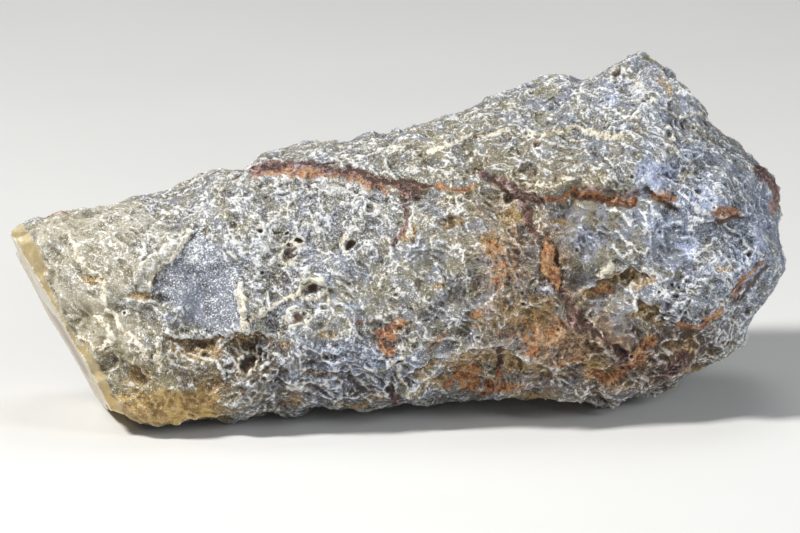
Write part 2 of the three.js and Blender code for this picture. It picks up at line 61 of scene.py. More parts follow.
# Coloured lines on the front: name, tint, strength, half width, height,
# and the path in the photograph's pixels.
LINES = [
    ("iron seam", "rust", 0.85, 1.0, 0.5,
     [(254, 174), (267, 171), (290, 170), (313, 174), (336, 175), (351, 177), (367, 183), (384, 190)]),
    ("iron seam's violet top", "violet", 1.2, 0.8, 0.3,
     [(254, 171), (267, 165), (290, 164), (313, 167), (336, 169), (351, 171), (367, 176), (386, 182),
      (402, 184)]),
    # The dark lines are painted shadow along the seams' edges and in the gaps.
    ("iron seam's dark edge", "dark", 1.2, 0.4, -0.4,
     [(352, 169), (362, 174), (374, 180), (388, 184), (400, 184)]),
    ("iron knot's dark edge", "dark", 1.2, 0.4, -0.3, [(402, 182), (414, 181), (426, 186), (432, 187)]),
    ("thin seam", "rust", 0.9, 0.55, 0.3, [(420, 188), (430, 188), (447, 188), (460, 191), (475, 186)]),
    ("violet seam", "violet", 1, 1.0, 0.5, [(482, 175), (503, 184), (515, 192), (527, 197), (542, 201)]),
    ("red seam", "rust", 0.9, 0.5, 0.3, [(542, 201), (563, 199), (579, 192)]),
    ("pink crest", "violet", 0.7, 0.8, 0.4, [(581, 189), (600, 190), (619, 194), (637, 192)]),
    ("orange recess", "rust", 1, 0.8, -0.7, [(577, 194), (594, 196), (608, 201), (622, 203), (634, 200)]),
    ("first branch", "violet", 0.85, 0.7, 0.2, [(407, 196), (407, 212), (402, 228), (394, 244)]),
    ("second branch", "violet", 0.85, 0.9, 0.35, [(524, 203), (526, 219), (531, 230), (541, 239)]),
    ("branch below the blade", "violet", 0.85, 1.1, 0.3,
     [(563, 291), (570, 304), (578, 317), (588, 326), (606, 338)]),
    ("right rib", "rust", 1.2, 0.55, 1.0, [(679, 327), (692, 327), (700, 327), (711, 318), (721, 310)]),
    ("far right rib", "rust", 1.1, 0.5, 1.0, [(734, 292), (743, 278), (752, 272), (762, 264)]),
    ("violet seam's dark edge", "dark", 1.1, 0.3, -0.3,
     [(484, 178), (503, 188), (515, 196), (527, 200), (545, 203)]),
    ("recess's dark edge", "dark", 1.1, 0.35, -0.4,
     [(577, 197), (594, 199), (608, 205), (622, 207), (634, 204)]),
    ("blade's dark edge", "dark", 1.05, 0.28, -0.2,
     [(528, 208), (529, 219), (534, 231), (546, 240), (557, 252), (563, 268), (565, 284)]),
    ("lower branch's dark edge", "dark", 1.1, 0.32, -0.3,
     [(566, 298), (573, 310), (583, 322), (600, 336), (612, 345)]),
    ("gap in the arch", "dark", 1.2, 0.32, -0.5, [(501, 348), (502, 354), (503, 362)]),
    ("rib's dark edge", "dark", 1, 0.25, -0.3, [(680, 331), (694, 331), (704, 328), (715, 319)]),
    ("far right gap", "dark", 1.1, 0.4, -0.6, [(738, 301), (749, 287), (758, 277), (767, 267)]),
    ("far right foot", "violet", 0.8, 0.7, 0.3, [(734, 304), (737, 296)]),
    ("upright rust", "violet", 1.6, 0.5, -0.7, [(502, 348), (501, 358), (499, 366)]),
    ("upright rust's foot", "rust", 1.3, 0.6, -0.3, [(499, 366), (499, 376)]),
    ("foot of the upright rust", "rust", 1.1, 0.8, 0.2, [(485, 393), (489, 386), (500, 388), (512, 388)]),
    ("rusty diagonal", "rust", 0.9, 0.45, 0.4, [(429, 348), (436, 341), (443, 336)]),
    ("lower red band", "rust", 1.2, 0.8, 0.5, [(651, 339), (643, 348), (638, 360), (626, 368), (611, 379)]),
    ("crevice by the red band", "violet", 1.2, 0.8, -0.7, [(617, 346), (623, 353), (627, 359)]),
    ("crimson foot", "violet", 1.2, 1.2, 0.2, [(668, 372), (676, 366), (684, 360)]),
    ("rusty lip", "rust", 1, 0.5, 0.3, [(560, 366), (575, 359), (588, 357)]),
    ("rusty streaks", "rust", 0.9, 0.7, 0.2, [(592, 372), (603, 376), (611, 382)]),
    ("purple rim", "violet", 0.95, 1.6, 0.2, [(759, 170), (772, 180), (780, 190), (776, 205)]),
    ("left rib", "cream", 0.95, 0.75, 0.8,
     [(67, 234), (75, 245), (81, 262), (92, 273), (104, 285), (102, 297), (107, 309), (121, 329), (135, 341),
      (147, 356)]),
    ("left rib's branch", "cream", 0.8, 0.55, 0.5, [(130, 343), (133, 354), (135, 366)]),
    ("second left rib", "cream", 0.85, 0.6, 0.5, [(98, 317), (107, 328), (110, 340), (101, 349)]),
    ("left ring", "cream", 0.85, 0.5, 0.5,
     [(79, 335), (93, 347), (106, 345), (109, 336), (105, 326), (97, 319)]),
    ("pale blade's edge", "cream", 0.95, 0.4, 0.5,
     [(192, 234), (180, 249), (166, 264), (153, 274), (149, 286)]),
    ("pale blade's far edge", "cream", 0.8, 0.35, 0.4,
     [(190, 232), (172, 241), (152, 256), (137, 267), (133, 281)]),
    ("thread", "cream", 0.75, 0.35, 0.3, [(154, 302), (172, 310), (190, 317)]),
    ("facet's edge", "cream", 0.7, 0.4, 0.6, [(199, 228), (214, 240), (228, 251), (238, 262)]),
    ("cream fin", "cream", 0.9, 0.75, 0.9, [(240, 288), (243, 306), (243, 326)]),
    ("lace rib", "cream", 0.95, 0.6, 0.8,
     [(245, 328), (255, 316), (268, 308), (278, 303), (292, 298), (305, 286), (319, 280), (328, 291),
      (330, 303)]),
    ("cream nub", "cream", 0.9, 0.8, 0.7, [(158, 344), (159, 358), (162, 371)]),
    ("short thread", "cream", 0.7, 0.4, 0.3, [(144, 374), (153, 389)]),
    ("upper cream line", "cream", 0.85, 0.5, 0.6,
     [(390, 147), (416, 152), (432, 150), (448, 145), (466, 138), (488, 134), (503, 131), (520, 134),
      (540, 136)]),
    ("upper cream line's end", "cream", 0.95, 0.65, 0.5,
     [(540, 136), (562, 130), (575, 127), (590, 132), (604, 135), (622, 139)]),
    ("lid", "cream", 0.85, 0.4, 0.6,
     [(503, 175), (516, 182), (529, 185), (551, 186), (562, 183), (574, 177)]),
    ("cream tick", "cream", 0.85, 0.4, 0.4, [(446, 197), (465, 194), (474, 207)]),
    ("crescent", "frost", 0.9, 0.35, 0.5,
     [(503, 285), (488, 302), (472, 305), (460, 314), (450, 325), (448, 333)]),
    ("second crescent", "frost", 0.8, 0.35, 0.5, [(532, 305), (515, 314), (503, 324), (495, 331)]),
    ("low crescent", "cream", 0.85, 0.5, 0.5, [(390, 360), (397, 368), (401, 377), (408, 396)]),
    ("low lip", "cream", 0.9, 0.4, 0.6, [(556, 370), (573, 363), (591, 356), (605, 353)]),
    ("low thread", "cream", 0.75, 0.3, 0.4, [(584, 315), (594, 325), (604, 336)]),
    ("white thread", "frost", 1.3, 0.4, 0.4, [(638, 208), (643, 216), (645, 226), (646, 234)]),
    ("web's top", "frost", 1.2, 0.35, 0.35, [(607, 209), (615, 212), (622, 214), (628, 218), (631, 224)]),
    ("web's right", "frost", 1.3, 0.35, 0.4,
     [(616, 232), (624, 238), (630, 242), (635, 246), (637, 251), (643, 253), (649, 249)]),
    ("web's left", "frost", 1.3, 0.35, 0.4, [(614, 244), (616, 251), (619, 254), (624, 257), (631, 252)]),
    ("far web", "frost", 1.25, 0.35, 0.4, [(665, 287), (669, 296), (675, 302), (684, 300)]),
    ("thread by the step", "frost", 1.2, 0.35, 0.35, [(619, 285), (627, 292), (636, 299), (637, 309)]),
    ("small cream crest", "cream", 0.9, 0.4, 0.4, [(432, 235), (430, 243), (431, 252)]),
    ("thread in the centre", "frost", 1.1, 0.3, 0.35, [(450, 246), (460, 254), (463, 263), (467, 273)]),
    ("foot thread", "cream", 0.8, 0.4, 0.4, [(366, 371), (380, 373), (394, 366)]),
    ("pale right blade", "cream", 1.05, 1.1, 0.8, [(612, 264), (608, 270), (603, 275)]),
    ("frost crest", "frost", 1, 1.1, 0.5, [(285, 181), (310, 184), (335, 188), (360, 197), (382, 208)]),
    ("knob's foot", "cream", 0.75, 0.45, 0.5, [(621, 71), (643, 89), (664, 108), (678, 116), (705, 114)]),
]

# Tinted spots on the front: name, tint, strength, height, centre in the photograph's pixels, and radii.
SPOTS = [
    ("iron knot", "violet", 1.2, 0.7, (410, 190), (2.2, 1.7)),
    # The dark spots are painted shade in cavities, pits and hollows.
    ("iron knot's core", "dark", 0.9, -0.3, (414, 188), (0.9, 0.9)),
    ("iron knot's glow", "rust", 1.2, 0, (400, 188), (1.0, 0.9)),
    ("stain in the middle", "rust", 0.5, 0, (504, 264), (3.2, 5.4)),
    ("stain's foot", "rust", 0.85, -0.4, (496, 283), (0.9, 1.3)),
    ("stain's head", "rust", 0.8, -0.4, (494, 246), (1.3, 2.2)),
    ("lilac patch", "blue", 0.75, 0.12, (546, 288), (2.4, 1.4)),
    ("lilac crumbs", "frost", 1.2, 0.1, (545, 287), (2.2, 1.2)),
    ("ochre field", "rust", 0.48, 0, (541, 334), (7.5, 4)),
    ("ochre hollow", "honey", 0.8, -0.3, (525, 312), (6, 2.6)),
    ("dark corner above the patch", "dark", 0.8, -0.4, (371, 325), (1.2, 0.8)),
    ("brown cavity at the foot", "dark", 0.8, -0.7, (391, 389), (0.9, 1.6)),
    ("hollow by the glow", "honey", 1.1, -0.7, (675, 344), (1.9, 0.9)),
    ("pit by the glow", "dark", 0.9, -0.5, (667, 343), (0.8, 0.5)),
    ("rusty speck", "rust", 0.8, -0.2, (360, 324), (0.9, 0.5)),
    ("golden foot", "honey", 1, 0, (356, 407), (4.6, 0.9)),
    ("reddish foot", "violet", 0.95, 0, (396, 399), (1.8, 1.2)),
    ("brown gap", "honey", 0.9, -0.3, (376, 396), (2.2, 1.0)),
    ("golden arch", "honey", 1.2, -0.1, (455, 364), (3.0, 0.8)),
    ("golden arch's left", "honey", 1.2, -0.1, (430, 380), (2.6, 0.7)),
    ("golden shoulder", "honey", 1.1, -0.2, (516, 364), (2.2, 1.4)),
    ("red foot of the arch", "rust", 1.2, 0, (509, 388), (2.4, 0.7)),
    ("brown hollow", "honey", 0.8, -0.3, (285, 345), (1.6, 0.9)),
    ("second brown hollow", "honey", 0.8, -0.3, (330, 335), (2.0, 0.8)),
    ("third brown hollow", "honey", 0.8, -0.3, (305, 372), (1.8, 0.8)),
    ("dark hollow", "dark", 0.75, -0.5, (268, 372), (1.4, 0.9)),
    ("second dark hollow", "dark", 0.75, -0.5, (318, 326), (1.4, 0.8)),
    ("golden edge", "honey", 1.1, 0, (530, 396), (3.0, 0.8)),
    ("orange by the arch", "rust", 1.3, 0, (448, 385), (0.9, 0.6)),
    ("orange foot", "rust", 1.3, 0, (489, 383), (1.2, 0.7)),
    ("orange above the arch", "rust", 1.4, -0.2, (533, 350), (1.0, 0.8)),
    ("striated brown", "honey", 1.0, -0.3, (600, 371), (2.8, 2.0)),
    ("orange fleck", "rust", 1.4, 0, (610, 383), (0.7, 0.6)),
    ("navy crevice", "violet", 1.1, -0.6, (620, 351), (1.3, 1.3)),
    ("dark pit by the lip", "dark", 0.8, -0.5, (629, 382), (0.6, 0.5)),
    ("second dark pit", "dark", 0.8, -0.5, (648, 386), (0.5, 0.5)),
    ("third dark pit", "dark", 0.7, -0.4, (636, 330), (0.5, 0.4)),
    ("red streak", "rust", 0.75, 0, (479, 314), (1.9, 0.6)),
    ("second red streak", "rust", 0.75, 0, (476, 326), (1.1, 0.6)),
    ("pink patch", "rust", 1.3, 0.3, (663, 197), (2.0, 1.0)),
    ("second pink patch", "rust", 1.4, 0.3, (729, 213), (2.3, 1.0)),
    ("amber glow", "amber", 1.3, -0.2, (690, 347), (1.1, 2.3)),
    ("amber glow's rust", "rust", 0.9, -0.2, (681, 355), (1.3, 1.3)),
    ("dark red foot", "violet", 0.9, 0, (676, 366), (2.4, 1.5)),
    ("amber edge", "honey", 1, 0, (697, 371), (2.4, 1.4)),
    ("brown rim", "honey", 0.9, -0.3, (775, 205), (0.8, 1.6)),
    ("ochre speck", "honey", 1, -0.2, (725, 270), (1.2, 0.6)),
    ("rust below the knob", "rust", 0.6, 0, (660, 75), (1.2, 3)),
    ("honey below the knob", "honey", 0.8, -0.3, (669, 89), (0.7, 1.1)),
    ("purple below the branch", "violet", 0.95, 0, (577, 320), (2.6, 2.2)),
    ("left cavity", "dark", 0.85, -1.0, (290, 253), (1.1, 1.4)),
    ("right cavity", "dark", 0.75, -0.86, (347, 243), (0.9, 0.9)),
    ("small cavity", "dark", 0.9, -0.9, (299, 242), (0.7, 0.6)),
    ("pinhole", "dark", 0.8, -0.6, (278, 233), (0.5, 0.4)),
    ("second pinhole", "dark", 0.8, -0.6, (287, 233), (0.4, 0.4)),
    ("crater", "dark", 0.75, -1.3, (313, 289), (1.7, 1.5)),
    ("crater below", "dark", 0.8, -1.1, (298, 317), (1.4, 1)),
    ("cavity behind the fin", "dark", 0.7, -0.7, (247, 343), (2.4, 0.9)),
    ("deep cavity", "dark", 0.75, -1.0, (247, 362), (1.1, 1.8)),
    ("cavity at the honey pit", "honey", 0.9, -0.7, (537, 145), (0.9, 0.7)),
    ("hollow below the facet", "honey", 0.7, -0.5, (214, 386), (2.6, 2.4)),
    ("honey hollow", "honey", 1, -0.5, (92, 280), (2.4, 0.8)),
    ("second honey hollow", "honey", 1, -0.4, (138, 378), (1.8, 1.7)),
    ("third honey hollow", "honey", 1, -0.4, (141, 295), (2.4, 0.8)),
    ("honey shelf's recess", "honey", 1.1, -0.4, (200, 350), (5.2, 1.7)),
    ("low olive hollow", "honey", 0.7, -0.8, (293, 400), (3, 1.8)),
    ("olive hollow", "honey", 1, -0.6, (511, 217), (2.2, 1.2)),
    ("olive streak", "honey", 0.85, -0.3, (558, 222), (1.4, 0.5)),
    ("second olive hollow", "honey", 0.7, -0.6, (450, 222), (2.6, 1.3)),
    ("third olive hollow", "honey", 0.7, -0.5, (487, 238), (2.2, 1.6)),
    ("fourth olive hollow", "honey", 0.75, -0.6, (408, 233), (1.7, 1.9)),
    ("amber corner", "amber", 1.3, 0, (168, 412), (7.4, 2.4)),
    ("amber foot", "amber", 1.1, 0, (203, 402), (2.2, 1.8)),
    ("overhang's honey", "honey", 1.3, -0.1, (630, 278), (4.4, 1.5)),
    ("overhang's rust", "rust", 0.7, -0.1, (602, 290), (3.0, 1.0)),
    ("step's honey", "honey", 1.1, -0.4, (648, 313), (2.4, 1.7)),
    ("arch's honey", "honey", 1.1, -0.4, (474, 357), (5.6, 1.2)),
    ("left nub", "frost", 1.3, 0.5, (154, 301), (1.0, 0.7)),
    ("white cap", "frost", 1.2, 0.5, (637, 90), (2, 1.4)),
    ("white chip", "frost", 1.1, 0.3, (457, 209), (1.5, 1.3)),
    ("white spark", "frost", 1.3, 0.3, (435, 266), (0.5, 0.5)),
    ("second white spark", "frost", 1.3, 0.3, (455, 247), (0.7, 0.5)),
    ("pinhole in the centre", "dark", 0.9, -0.4, (451, 295), (0.4, 0.4)),
    ("olive patch in the centre", "honey", 0.8, -0.2, (441, 287), (1.6, 0.8)),
    ("white block", "frost", 1.1, 0.5, (296, 387), (2.2, 1)),
    ("white lid", "cream", 0.8, 0.4, (566, 178), (1.6, 0.6)),
    ("oval nub", "frost", 1, 0.5, (456, 322), (1.3, 1.5)),
    ("steel patch", "blue", 1, 0, (656, 174), (4.6, 3.4)),
    ("second steel patch", "blue", 1.1, 0, (705, 199), (2.6, 2.2)),
    ("third steel patch", "blue", 0.85, 0, (687, 243), (2.4, 3.6)),
    ("fourth steel patch", "blue", 1.1, 0, (761, 233), (1.5, 3)),
    ("steel shoulder", "blue", 0.7, 0, (608, 98), (3, 2.4)),
    ("steel middle", "blue", 0.6, 0, (590, 240), (4.4, 4)),
    ("steel low", "blue", 0.6, 0, (445, 357), (3.4, 1.2)),
]

# Plates on the front: name, tint, strength, height, and the corners in the photograph's pixels.
PLATES = [
    ("pale blade", "pale", 1.4, 0.7,
     [(191, 233), (183, 246), (168, 262), (154, 272), (150, 286), (140, 291), (133, 282), (137, 268),
      (152, 256), (172, 242)]),
    ("orange blade", "rust", 1.25, 0.7,
     [(545, 238), (551, 244), (556, 260), (562, 282), (559, 290), (549, 279), (541, 264), (541, 251)]),
    ("cream flake", "pale", 1.2, 0.5,
     [(236, 290), (243, 287), (247, 300), (247, 318), (240, 325), (236, 306)]),
    ("low flake", "pale", 1.1, 0.5, [(156, 342), (163, 344), (164, 360), (168, 370), (160, 372), (156, 362)]),
    ("rust under the arch", "rust", 1.6, -0.3,
     [(450, 377), (461, 367), (476, 366), (483, 371), (478, 382), (470, 392), (461, 389), (457, 381)]),
    ("rusty patch", "rust", 1.1, 0.3,
     [(376, 334), (387, 327), (397, 318), (406, 323), (397, 335), (391, 344), (399, 352), (389, 357),
      (380, 349)]),
    ("pale wedge", "pale", 1.1, 0.4, [(612, 260), (617, 266), (607, 275), (598, 280), (602, 270)]),
]

# Ledges on the front: name, lip, undercut, the tint below,
# and the path in the photograph's pixels, from left to right.
LEDGES = [
    ("below the iron seam", 0.2, 0.7, "frost", [(262, 180), (300, 178), (335, 182), (362, 191), (392, 200)]),
    ("facet's foot", 0.5, 0.8, "honey", [(171, 337), (190, 340), (210, 338), (239, 331)]),
    ("arch", 0.6, 1.1, "honey",
     [(415, 372), (430, 363), (447, 357), (481, 350), (500, 347), (515, 355), (532, 361), (551, 370)]),
    ("low arch", 0.5, 0.8, "honey", [(413, 392), (430, 380), (454, 369), (478, 363)]),
    ("brown overhang", 0.6, 0.8, "honey", [(583, 294), (598, 281), (614, 276), (630, 266), (646, 276)]),
    ("short step", 0.5, 0.8, "honey", [(634, 311), (641, 303), (650, 309), (660, 318)]),
    ("fin's arch", 0.5, 0.7, "honey", [(226, 345), (236, 335), (250, 331), (266, 337)]),
    # Below the dark ledge and the far ledge, the dark tint is a painted shadow under the lip.
    ("dark ledge", 0.4, 0.9, "dark", [(652, 190), (664, 199), (674, 206)]),
    ("lower step", 0.4, 0.8, "frost", [(315, 372), (345, 374), (375, 376), (400, 362)]),
    ("far ledge", 0.4, 0.9, "dark", [(716, 221), (727, 217), (741, 216)]),
]

# The smooth facet on the front left, and where the rind ends at the sawn rim, in the photograph's pixels.
FACET = [(197, 230), (240, 263), (236, 328), (207, 329), (171, 300), (147, 288), (174, 263)]
RIND_START = [(20, 214), (24, 225), (42, 254), (47, 276), (54, 300), (67, 322), (76, 340), (95, 355),
              (104, 374), (113, 394), (122, 408), (128, 424)]

# Broad shades over the front: name, tint, strength, centre in the photograph's pixels, and radii.
SHADES = [
    ("pale end", "pale", 0.85, (82, 300), (17, 25)),
    ("pale end's top", "pale", 0.45, (110, 225), (18, 6)),
    ("amber foot", "amber", 0.6, (150, 408), (15, 5)),
    ("frosted left", "frost", 0.7, (290, 265), (34, 20)),
    ("frosted crown", "frost", 0.6, (420, 185), (60, 12)),
    ("frosted end", "frost", 0.45, (110, 250), (22, 12)),
    ("frosted foot", "frost", 0.4, (330, 355), (24, 11)),
    ("frosted shoulder", "frost", 0.6, (590, 110), (22, 8)),
    ("calm middle", "frost", -0.9, (612, 228), (12, 7)),
    ("calm below the thin seam", "frost", -0.8, (470, 205), (9, 4)),
    ("calm centre", "frost", -0.3, (450, 265), (12, 8)),
    ("calm crown", "frost", -0.4, (510, 165), (16, 4)),
    ("calm slope", "frost", -0.2, (560, 330), (16, 6)),
    ("frosted low right", "frost", 0.6, (722, 335), (8, 8)),
    ("frosted right foot", "frost", 0.5, (625, 395), (10, 4)),
    ("frosted arch foot", "frost", 0.3, (440, 400), (9, 3)),
    ("honey end", "honey", 0.45, (80, 330), (13, 18)),
    ("honey foot", "honey", 0.75, (170, 390), (16, 8)),
    ("honey crown", "honey", 0.2, (480, 145), (34, 8)),
    ("honey below the seam", "honey", 0.15, (330, 200), (20, 8)),
    ("olive seam", "honey", 0.45, (560, 185), (18, 4)),
    ("olive middle", "honey", 0.15, (450, 240), (16, 14)),
    ("facet's blue", "blue", 0.35, (205, 285), (8, 8)),
    ("blue below the seam", "blue", 0.3, (340, 225), (10, 10)),
    ("blue foot", "blue", 0.25, (300, 378), (22, 7)),
    ("blue foot's end", "blue", 0.6, (355, 368), (11, 6)),
    ("blue shoulder", "blue", 0.25, (640, 110), (18, 10)),
    ("blue right", "blue", 0.35, (680, 200), (10, 10)),
    ("blue far right", "blue", 0.4, (755, 235), (6, 16)),
    ("blue right side", "blue", 0.35, (712, 260), (16, 18)),
    ("frosted right", "frost", 0.6, (715, 250), (14, 16)),
    ("rusty middle", "rust", 0.7, (520, 250), (10, 13)),
    ("glowing blade", "rust", 1.2, (552, 265), (2.5, 5)),
    ("rusty low middle", "rust", 0.75, (550, 325), (14, 8)),
    ("rusty arch", "rust", 1.3, (468, 379), (3.2, 2.4)),
    ("rusty foot", "rust", 0.5, (570, 375), (15, 6)),
    ("rusty low right", "rust", 0.65, (645, 358), (15, 7)),
    ("rusty ring", "rust", 0.45, (390, 330), (5, 4)),
    # The dark shades paint shade over the lower front and its cavities.
    ("dark low right", "dark", 0.5, (645, 362), (17, 8)),
    ("dark far foot", "dark", 0.45, (695, 340), (9, 6)),
    ("dark foot", "dark", 0.55, (335, 396), (24, 5)),
    ("dark low left", "dark", 0.4, (290, 360), (15, 6)),
    ("dark cavities", "dark", 0.5, (225, 365), (8, 7)),
]
# The dark tint is painted shade in pits, cavities, gaps, under ledges and along the edges of the seams; the
# dark shades are broad painted shade.
TINTS = ("rust", "violet", "cream", "pale", "honey", "amber", "blue", "dark", "frost")

# The sides that the photograph doesn't show: how strongly each shade covers its patches there,
# and how wide the patches are.
# The dark patches here are painted shade, laid into the hollows.
FAR_PATCHES = {"frost": 0.75, "honey": 0.5, "blue": 0.5, "rust": 0.6, "dark": 0.2, "pale": 0.3, "amber": 0}
FAR_PATCH_SIZE = 24

# Iron seams on those sides: the slant of each sheet in x and z, where it crosses, and its half width.
FAR_SEAMS = [((-0.06, 1), 46, 1.1), ((0.75, 0.66), 46, 0.7), ((0.8, -0.6), -21, 0.6)]

# The crests run down to the right on the front, and are longer than they are wide.
STREAK_SLANT = math.radians(38)
STREAK = np.array([math.cos(STREAK_SLANT), 0, -math.sin(STREAK_SLANT)])
STREAK_LENGTH = 1.7

# The rind's crests: how far apart the long, the short and the finest ones are, and how high.
LONG_CREST, LONG_HEIGHT = 6.5, 0.55
SHORT_CREST, SHORT_HEIGHT = 2.6, 0.28
FINE_CREST, FINE_HEIGHT = 1.3, 0.18

# The rind's bowls: their size, depth, the half width of their rims, and a salt.
# Where the rind is waxy, those smaller than WAXED are mostly filled.
BOWLS = [(8, 0.5, 0.6, 100), (3.4, 0.42, 0.3, 200), (1.7, 0.3, 0.2, 250)]
WAXED = 2

# Spots on the front that are lower than this have a raised rim, and those that are lower still a creamy one.
RIMMED_PIT = -0.5
DEEP_PIT = -0.85

# The rind's round pits: their spacing, how rare they are, their smallest and largest radius, and a salt.
PITS = [(5.4, 0.75, 0.45, 1.15, 400), (2.7, 0.88, 0.25, 0.5, 500)]
PIT_DEPTH = 0.85
PIT_RIM = 0.22

# How far towards the camera the rind has to face for the front's relief and stains to begin and to be full,
# from 0 side on to 1 straight at it.
RELIEF_FADE = (0.02, 0.3)
STAIN_FADE = (0, 0.22)

# How far from the cut, on the sides out of view, the rim's fresh chips reach.
CHIPS = (-4.2, -1.2)

GRADIENTS = np.random.default_rng(4).normal(size=(64, 3))
GRADIENTS /= np.linalg.norm(GRADIENTS, axis=1)[:, None]


def smoothstep(low, high, value):
    """0 below low, 1 above high, and an even rise between them."""
    share = np.clip((value - low) / (high - low), 0, 1)
    return share * share * (3 - 2 * share)


def drawn(cells, salt):
    """A number from 0 to 1 for each whole-numbered cell, the same in every run."""
    bits = np.full(cells.shape[:-1], (salt * 374761393 + 668265263) % 2**32, np.uint32)
    for axis, prime in enumerate((2654435761, 2246822519, 3266489917)):
        bits ^= cells[..., axis].astype(np.int64).astype(np.uint32) * np.uint32(prime)
        bits = (bits ^ (bits >> np.uint32(15))) * np.uint32(2246822519)
    return (bits ^ (bits >> np.uint32(13))) / 2**32


def noise(points, size, salt=0):
    """Smooth noise from about -1 to 1, with lumps about size across."""
    places = points / size + 0.37 * salt
    low = np.floor(places)
    part = places - low
    ease = part**3 * (part * (part * 6 - 15) + 10)
    total = np.zeros(len(points))
    for corner in np.ndindex(2, 2, 2):
        weight = np.prod(np.where(corner, ease, 1 - ease), axis=1)
        slope = GRADIENTS[(drawn(low + corner, salt) * len(GRADIENTS)).astype(int)]
        total += weight * ((part - corner) * slope).sum(axis=1)
    return total * 1.7


def drifted(points, size, reach, salt=0):
    """The points moved about by smooth noise."""
    return points + reach * np.stack([noise(points, size, salt + axis) for axis in range(3)], axis=1)


def scattered(points, size, salt, jitter=0.85):
    """How far the nearest two of many scattered seeds are, in shares of size, and the nearest's number."""
    places = points / size
    low = np.floor(places)
    nearest = np.full(len(points), 9.0)
    second = nearest.copy()
    own = np.zeros(len(points))
    for step in np.ndindex(3, 3, 3):
        cell = low + step - 1
        seed = np.stack([drawn(cell, salt + axis) for axis in range(3)], axis=1)
        away = np.linalg.norm(cell + 0.5 + jitter * (seed - 0.5) - places, axis=1)
        closer = away < nearest
        second = np.where(closer, nearest, np.minimum(second, away))
        own = np.where(closer, seed[:, 0], own)
        nearest = np.where(closer, away, nearest)
    return nearest, second, own


def shade(pixels, tint):
    """How strongly the broad shades of one tint cover each place."""
    total = np.zeros(len(pixels))
    for _, own, strength, at, radii in SHADES:
        if own == tint:
            total += strength * np.exp(-(((pixels - at) * PIXEL / radii) ** 2).sum(axis=1))
    return total


class Sight:
    """The line of sight of the photograph: where a point of the stone shows in it."""

    def __init__(self, stone):
        points = vertices_of(stone)
        self.right = np.array([1, 0, 0])
        self.up = np.array([0, math.sin(LOOK_DOWN), math.cos(LOOK_DOWN)])
        self.away = np.array([0, math.cos(LOOK_DOWN), -math.sin(LOOK_DOWN)])
        across = points @ self.right
        deep = points @ self.away
        low = np.min(points @ self.up)
        shift = PHOTO_SIZE[0] / 2 - (OUTLINE_LEFT + OUTLINE_RIGHT) / 2
        target_right = (np.min(across) + np.max(across)) / 2 + PIXEL * shift
        target_up = low + PIXEL * (OUTLINE_LOW - PHOTO_SIZE[1] / 2)
        target_away = (np.min(deep) + np.max(deep)) / 2
        self.target = target_right * self.right + target_up * self.up + target_away * self.away
        self.eye = self.target - EYE_DISTANCE * self.away

    def pixels(self, points):
        """The place of each point in the photograph's pixels."""
        offset = points - self.target
        scale = EYE_DISTANCE / (EYE_DISTANCE + offset @ self.away) / PIXEL
        x = PHOTO_SIZE[0] / 2 + offset @ self.right * scale
        y = PHOTO_SIZE[1] / 2 - offset @ self.up * scale
        return np.stack([x, y], axis=1)


def vertices_of(thing):
    """The vertices of a mesh object, in millimetres."""
    data = thing.data.vertices
    flat = np.empty(len(data) * 3, np.float32)
    data.foreach_get("co", flat)
    return flat.reshape(-1, 3).astype(float) / MM


def set_vertices(thing, points):
    thing.data.vertices.foreach_set("co", (points * MM).astype(np.float32).ravel())
    thing.data.update()


def edges_of(thing):
    """The two vertices of each edge of a mesh object."""
    data = thing.data.edges
    flat = np.empty(len(data) * 2, np.int32)
    data.foreach_get("vertices", flat)
    return flat.reshape(-1, 2)


def normals_of(thing):
    data = thing.data.vertex_normals
    flat = np.empty(len(data) * 3, np.float32)
    data.foreach_get("vector", flat)
    return flat.reshape(-1, 3).astype(float)


def spread(values, edges, count, rounds, share=0.6):
    """Values, or points, evened out along the edges of a mesh."""
    values = values.copy()
    start, end = edges.T
    number = np.bincount(edges.ravel(), minlength=count)
    columns = values.reshape(count, -1)
    for _ in range(rounds):
        for column in range(columns.shape[1]):
            own = columns[:, column]
            total = np.bincount(start, own[end], count) + np.bincount(end, own[start], count)
            columns[:, column] = own + share * (total / number - own)
    return columns.reshape(values.shape)


def beside(pixels, path):
    """How far each place is from a path, in millimetres, and how far above it."""
    best = np.full(len(pixels), np.inf)
    above = np.zeros(len(pixels))
    for start, end in zip(path[:-1], path[1:]):
        start = np.array(start, float)
        step = np.array(end, float) - start
        length = np.hypot(*step)
        offset = pixels - start
        ahead = np.clip(offset @ step / length, 0, length)
        away = np.linalg.norm(offset - ahead[:, None] * step / length, axis=1)
        side = (step[1] * offset[:, 0] - step[0] * offset[:, 1]) / length
        closer = away < best
        above = np.where(closer, side, above)
        best = np.where(closer, away, best)
    return best * PIXEL, above * PIXEL


def inside(pixels, corners):
    """How far inside a polygon each place is, in millimetres, and negative outside it."""
    away, _ = beside(pixels, corners + corners[:1])
    odd = np.zeros(len(pixels), bool)
    for (x0, y0), (x1, y1) in zip(corners, corners[1:] + corners[:1]):
        crosses = (pixels[:, 1] < y0) != (pixels[:, 1] < y1)
        odd ^= crosses & (pixels[:, 0] < (x1 - x0) * (pixels[:, 1] - y0) / (y1 - y0 + 1e-9) + x0)
    return np.where(odd, away, -away)


def beyond_rind(pixels):
    """How far to the left of the rind's start each place is, in millimetres."""
    away, above = beside(pixels, RIND_START)
    return np.where(above < 0, away, -away)


def line_share(away, half):
    """1 on the middle of a line, down to 0 at twice its half width."""
    return np.clip(1 - away / (2 * half), 0, 1)


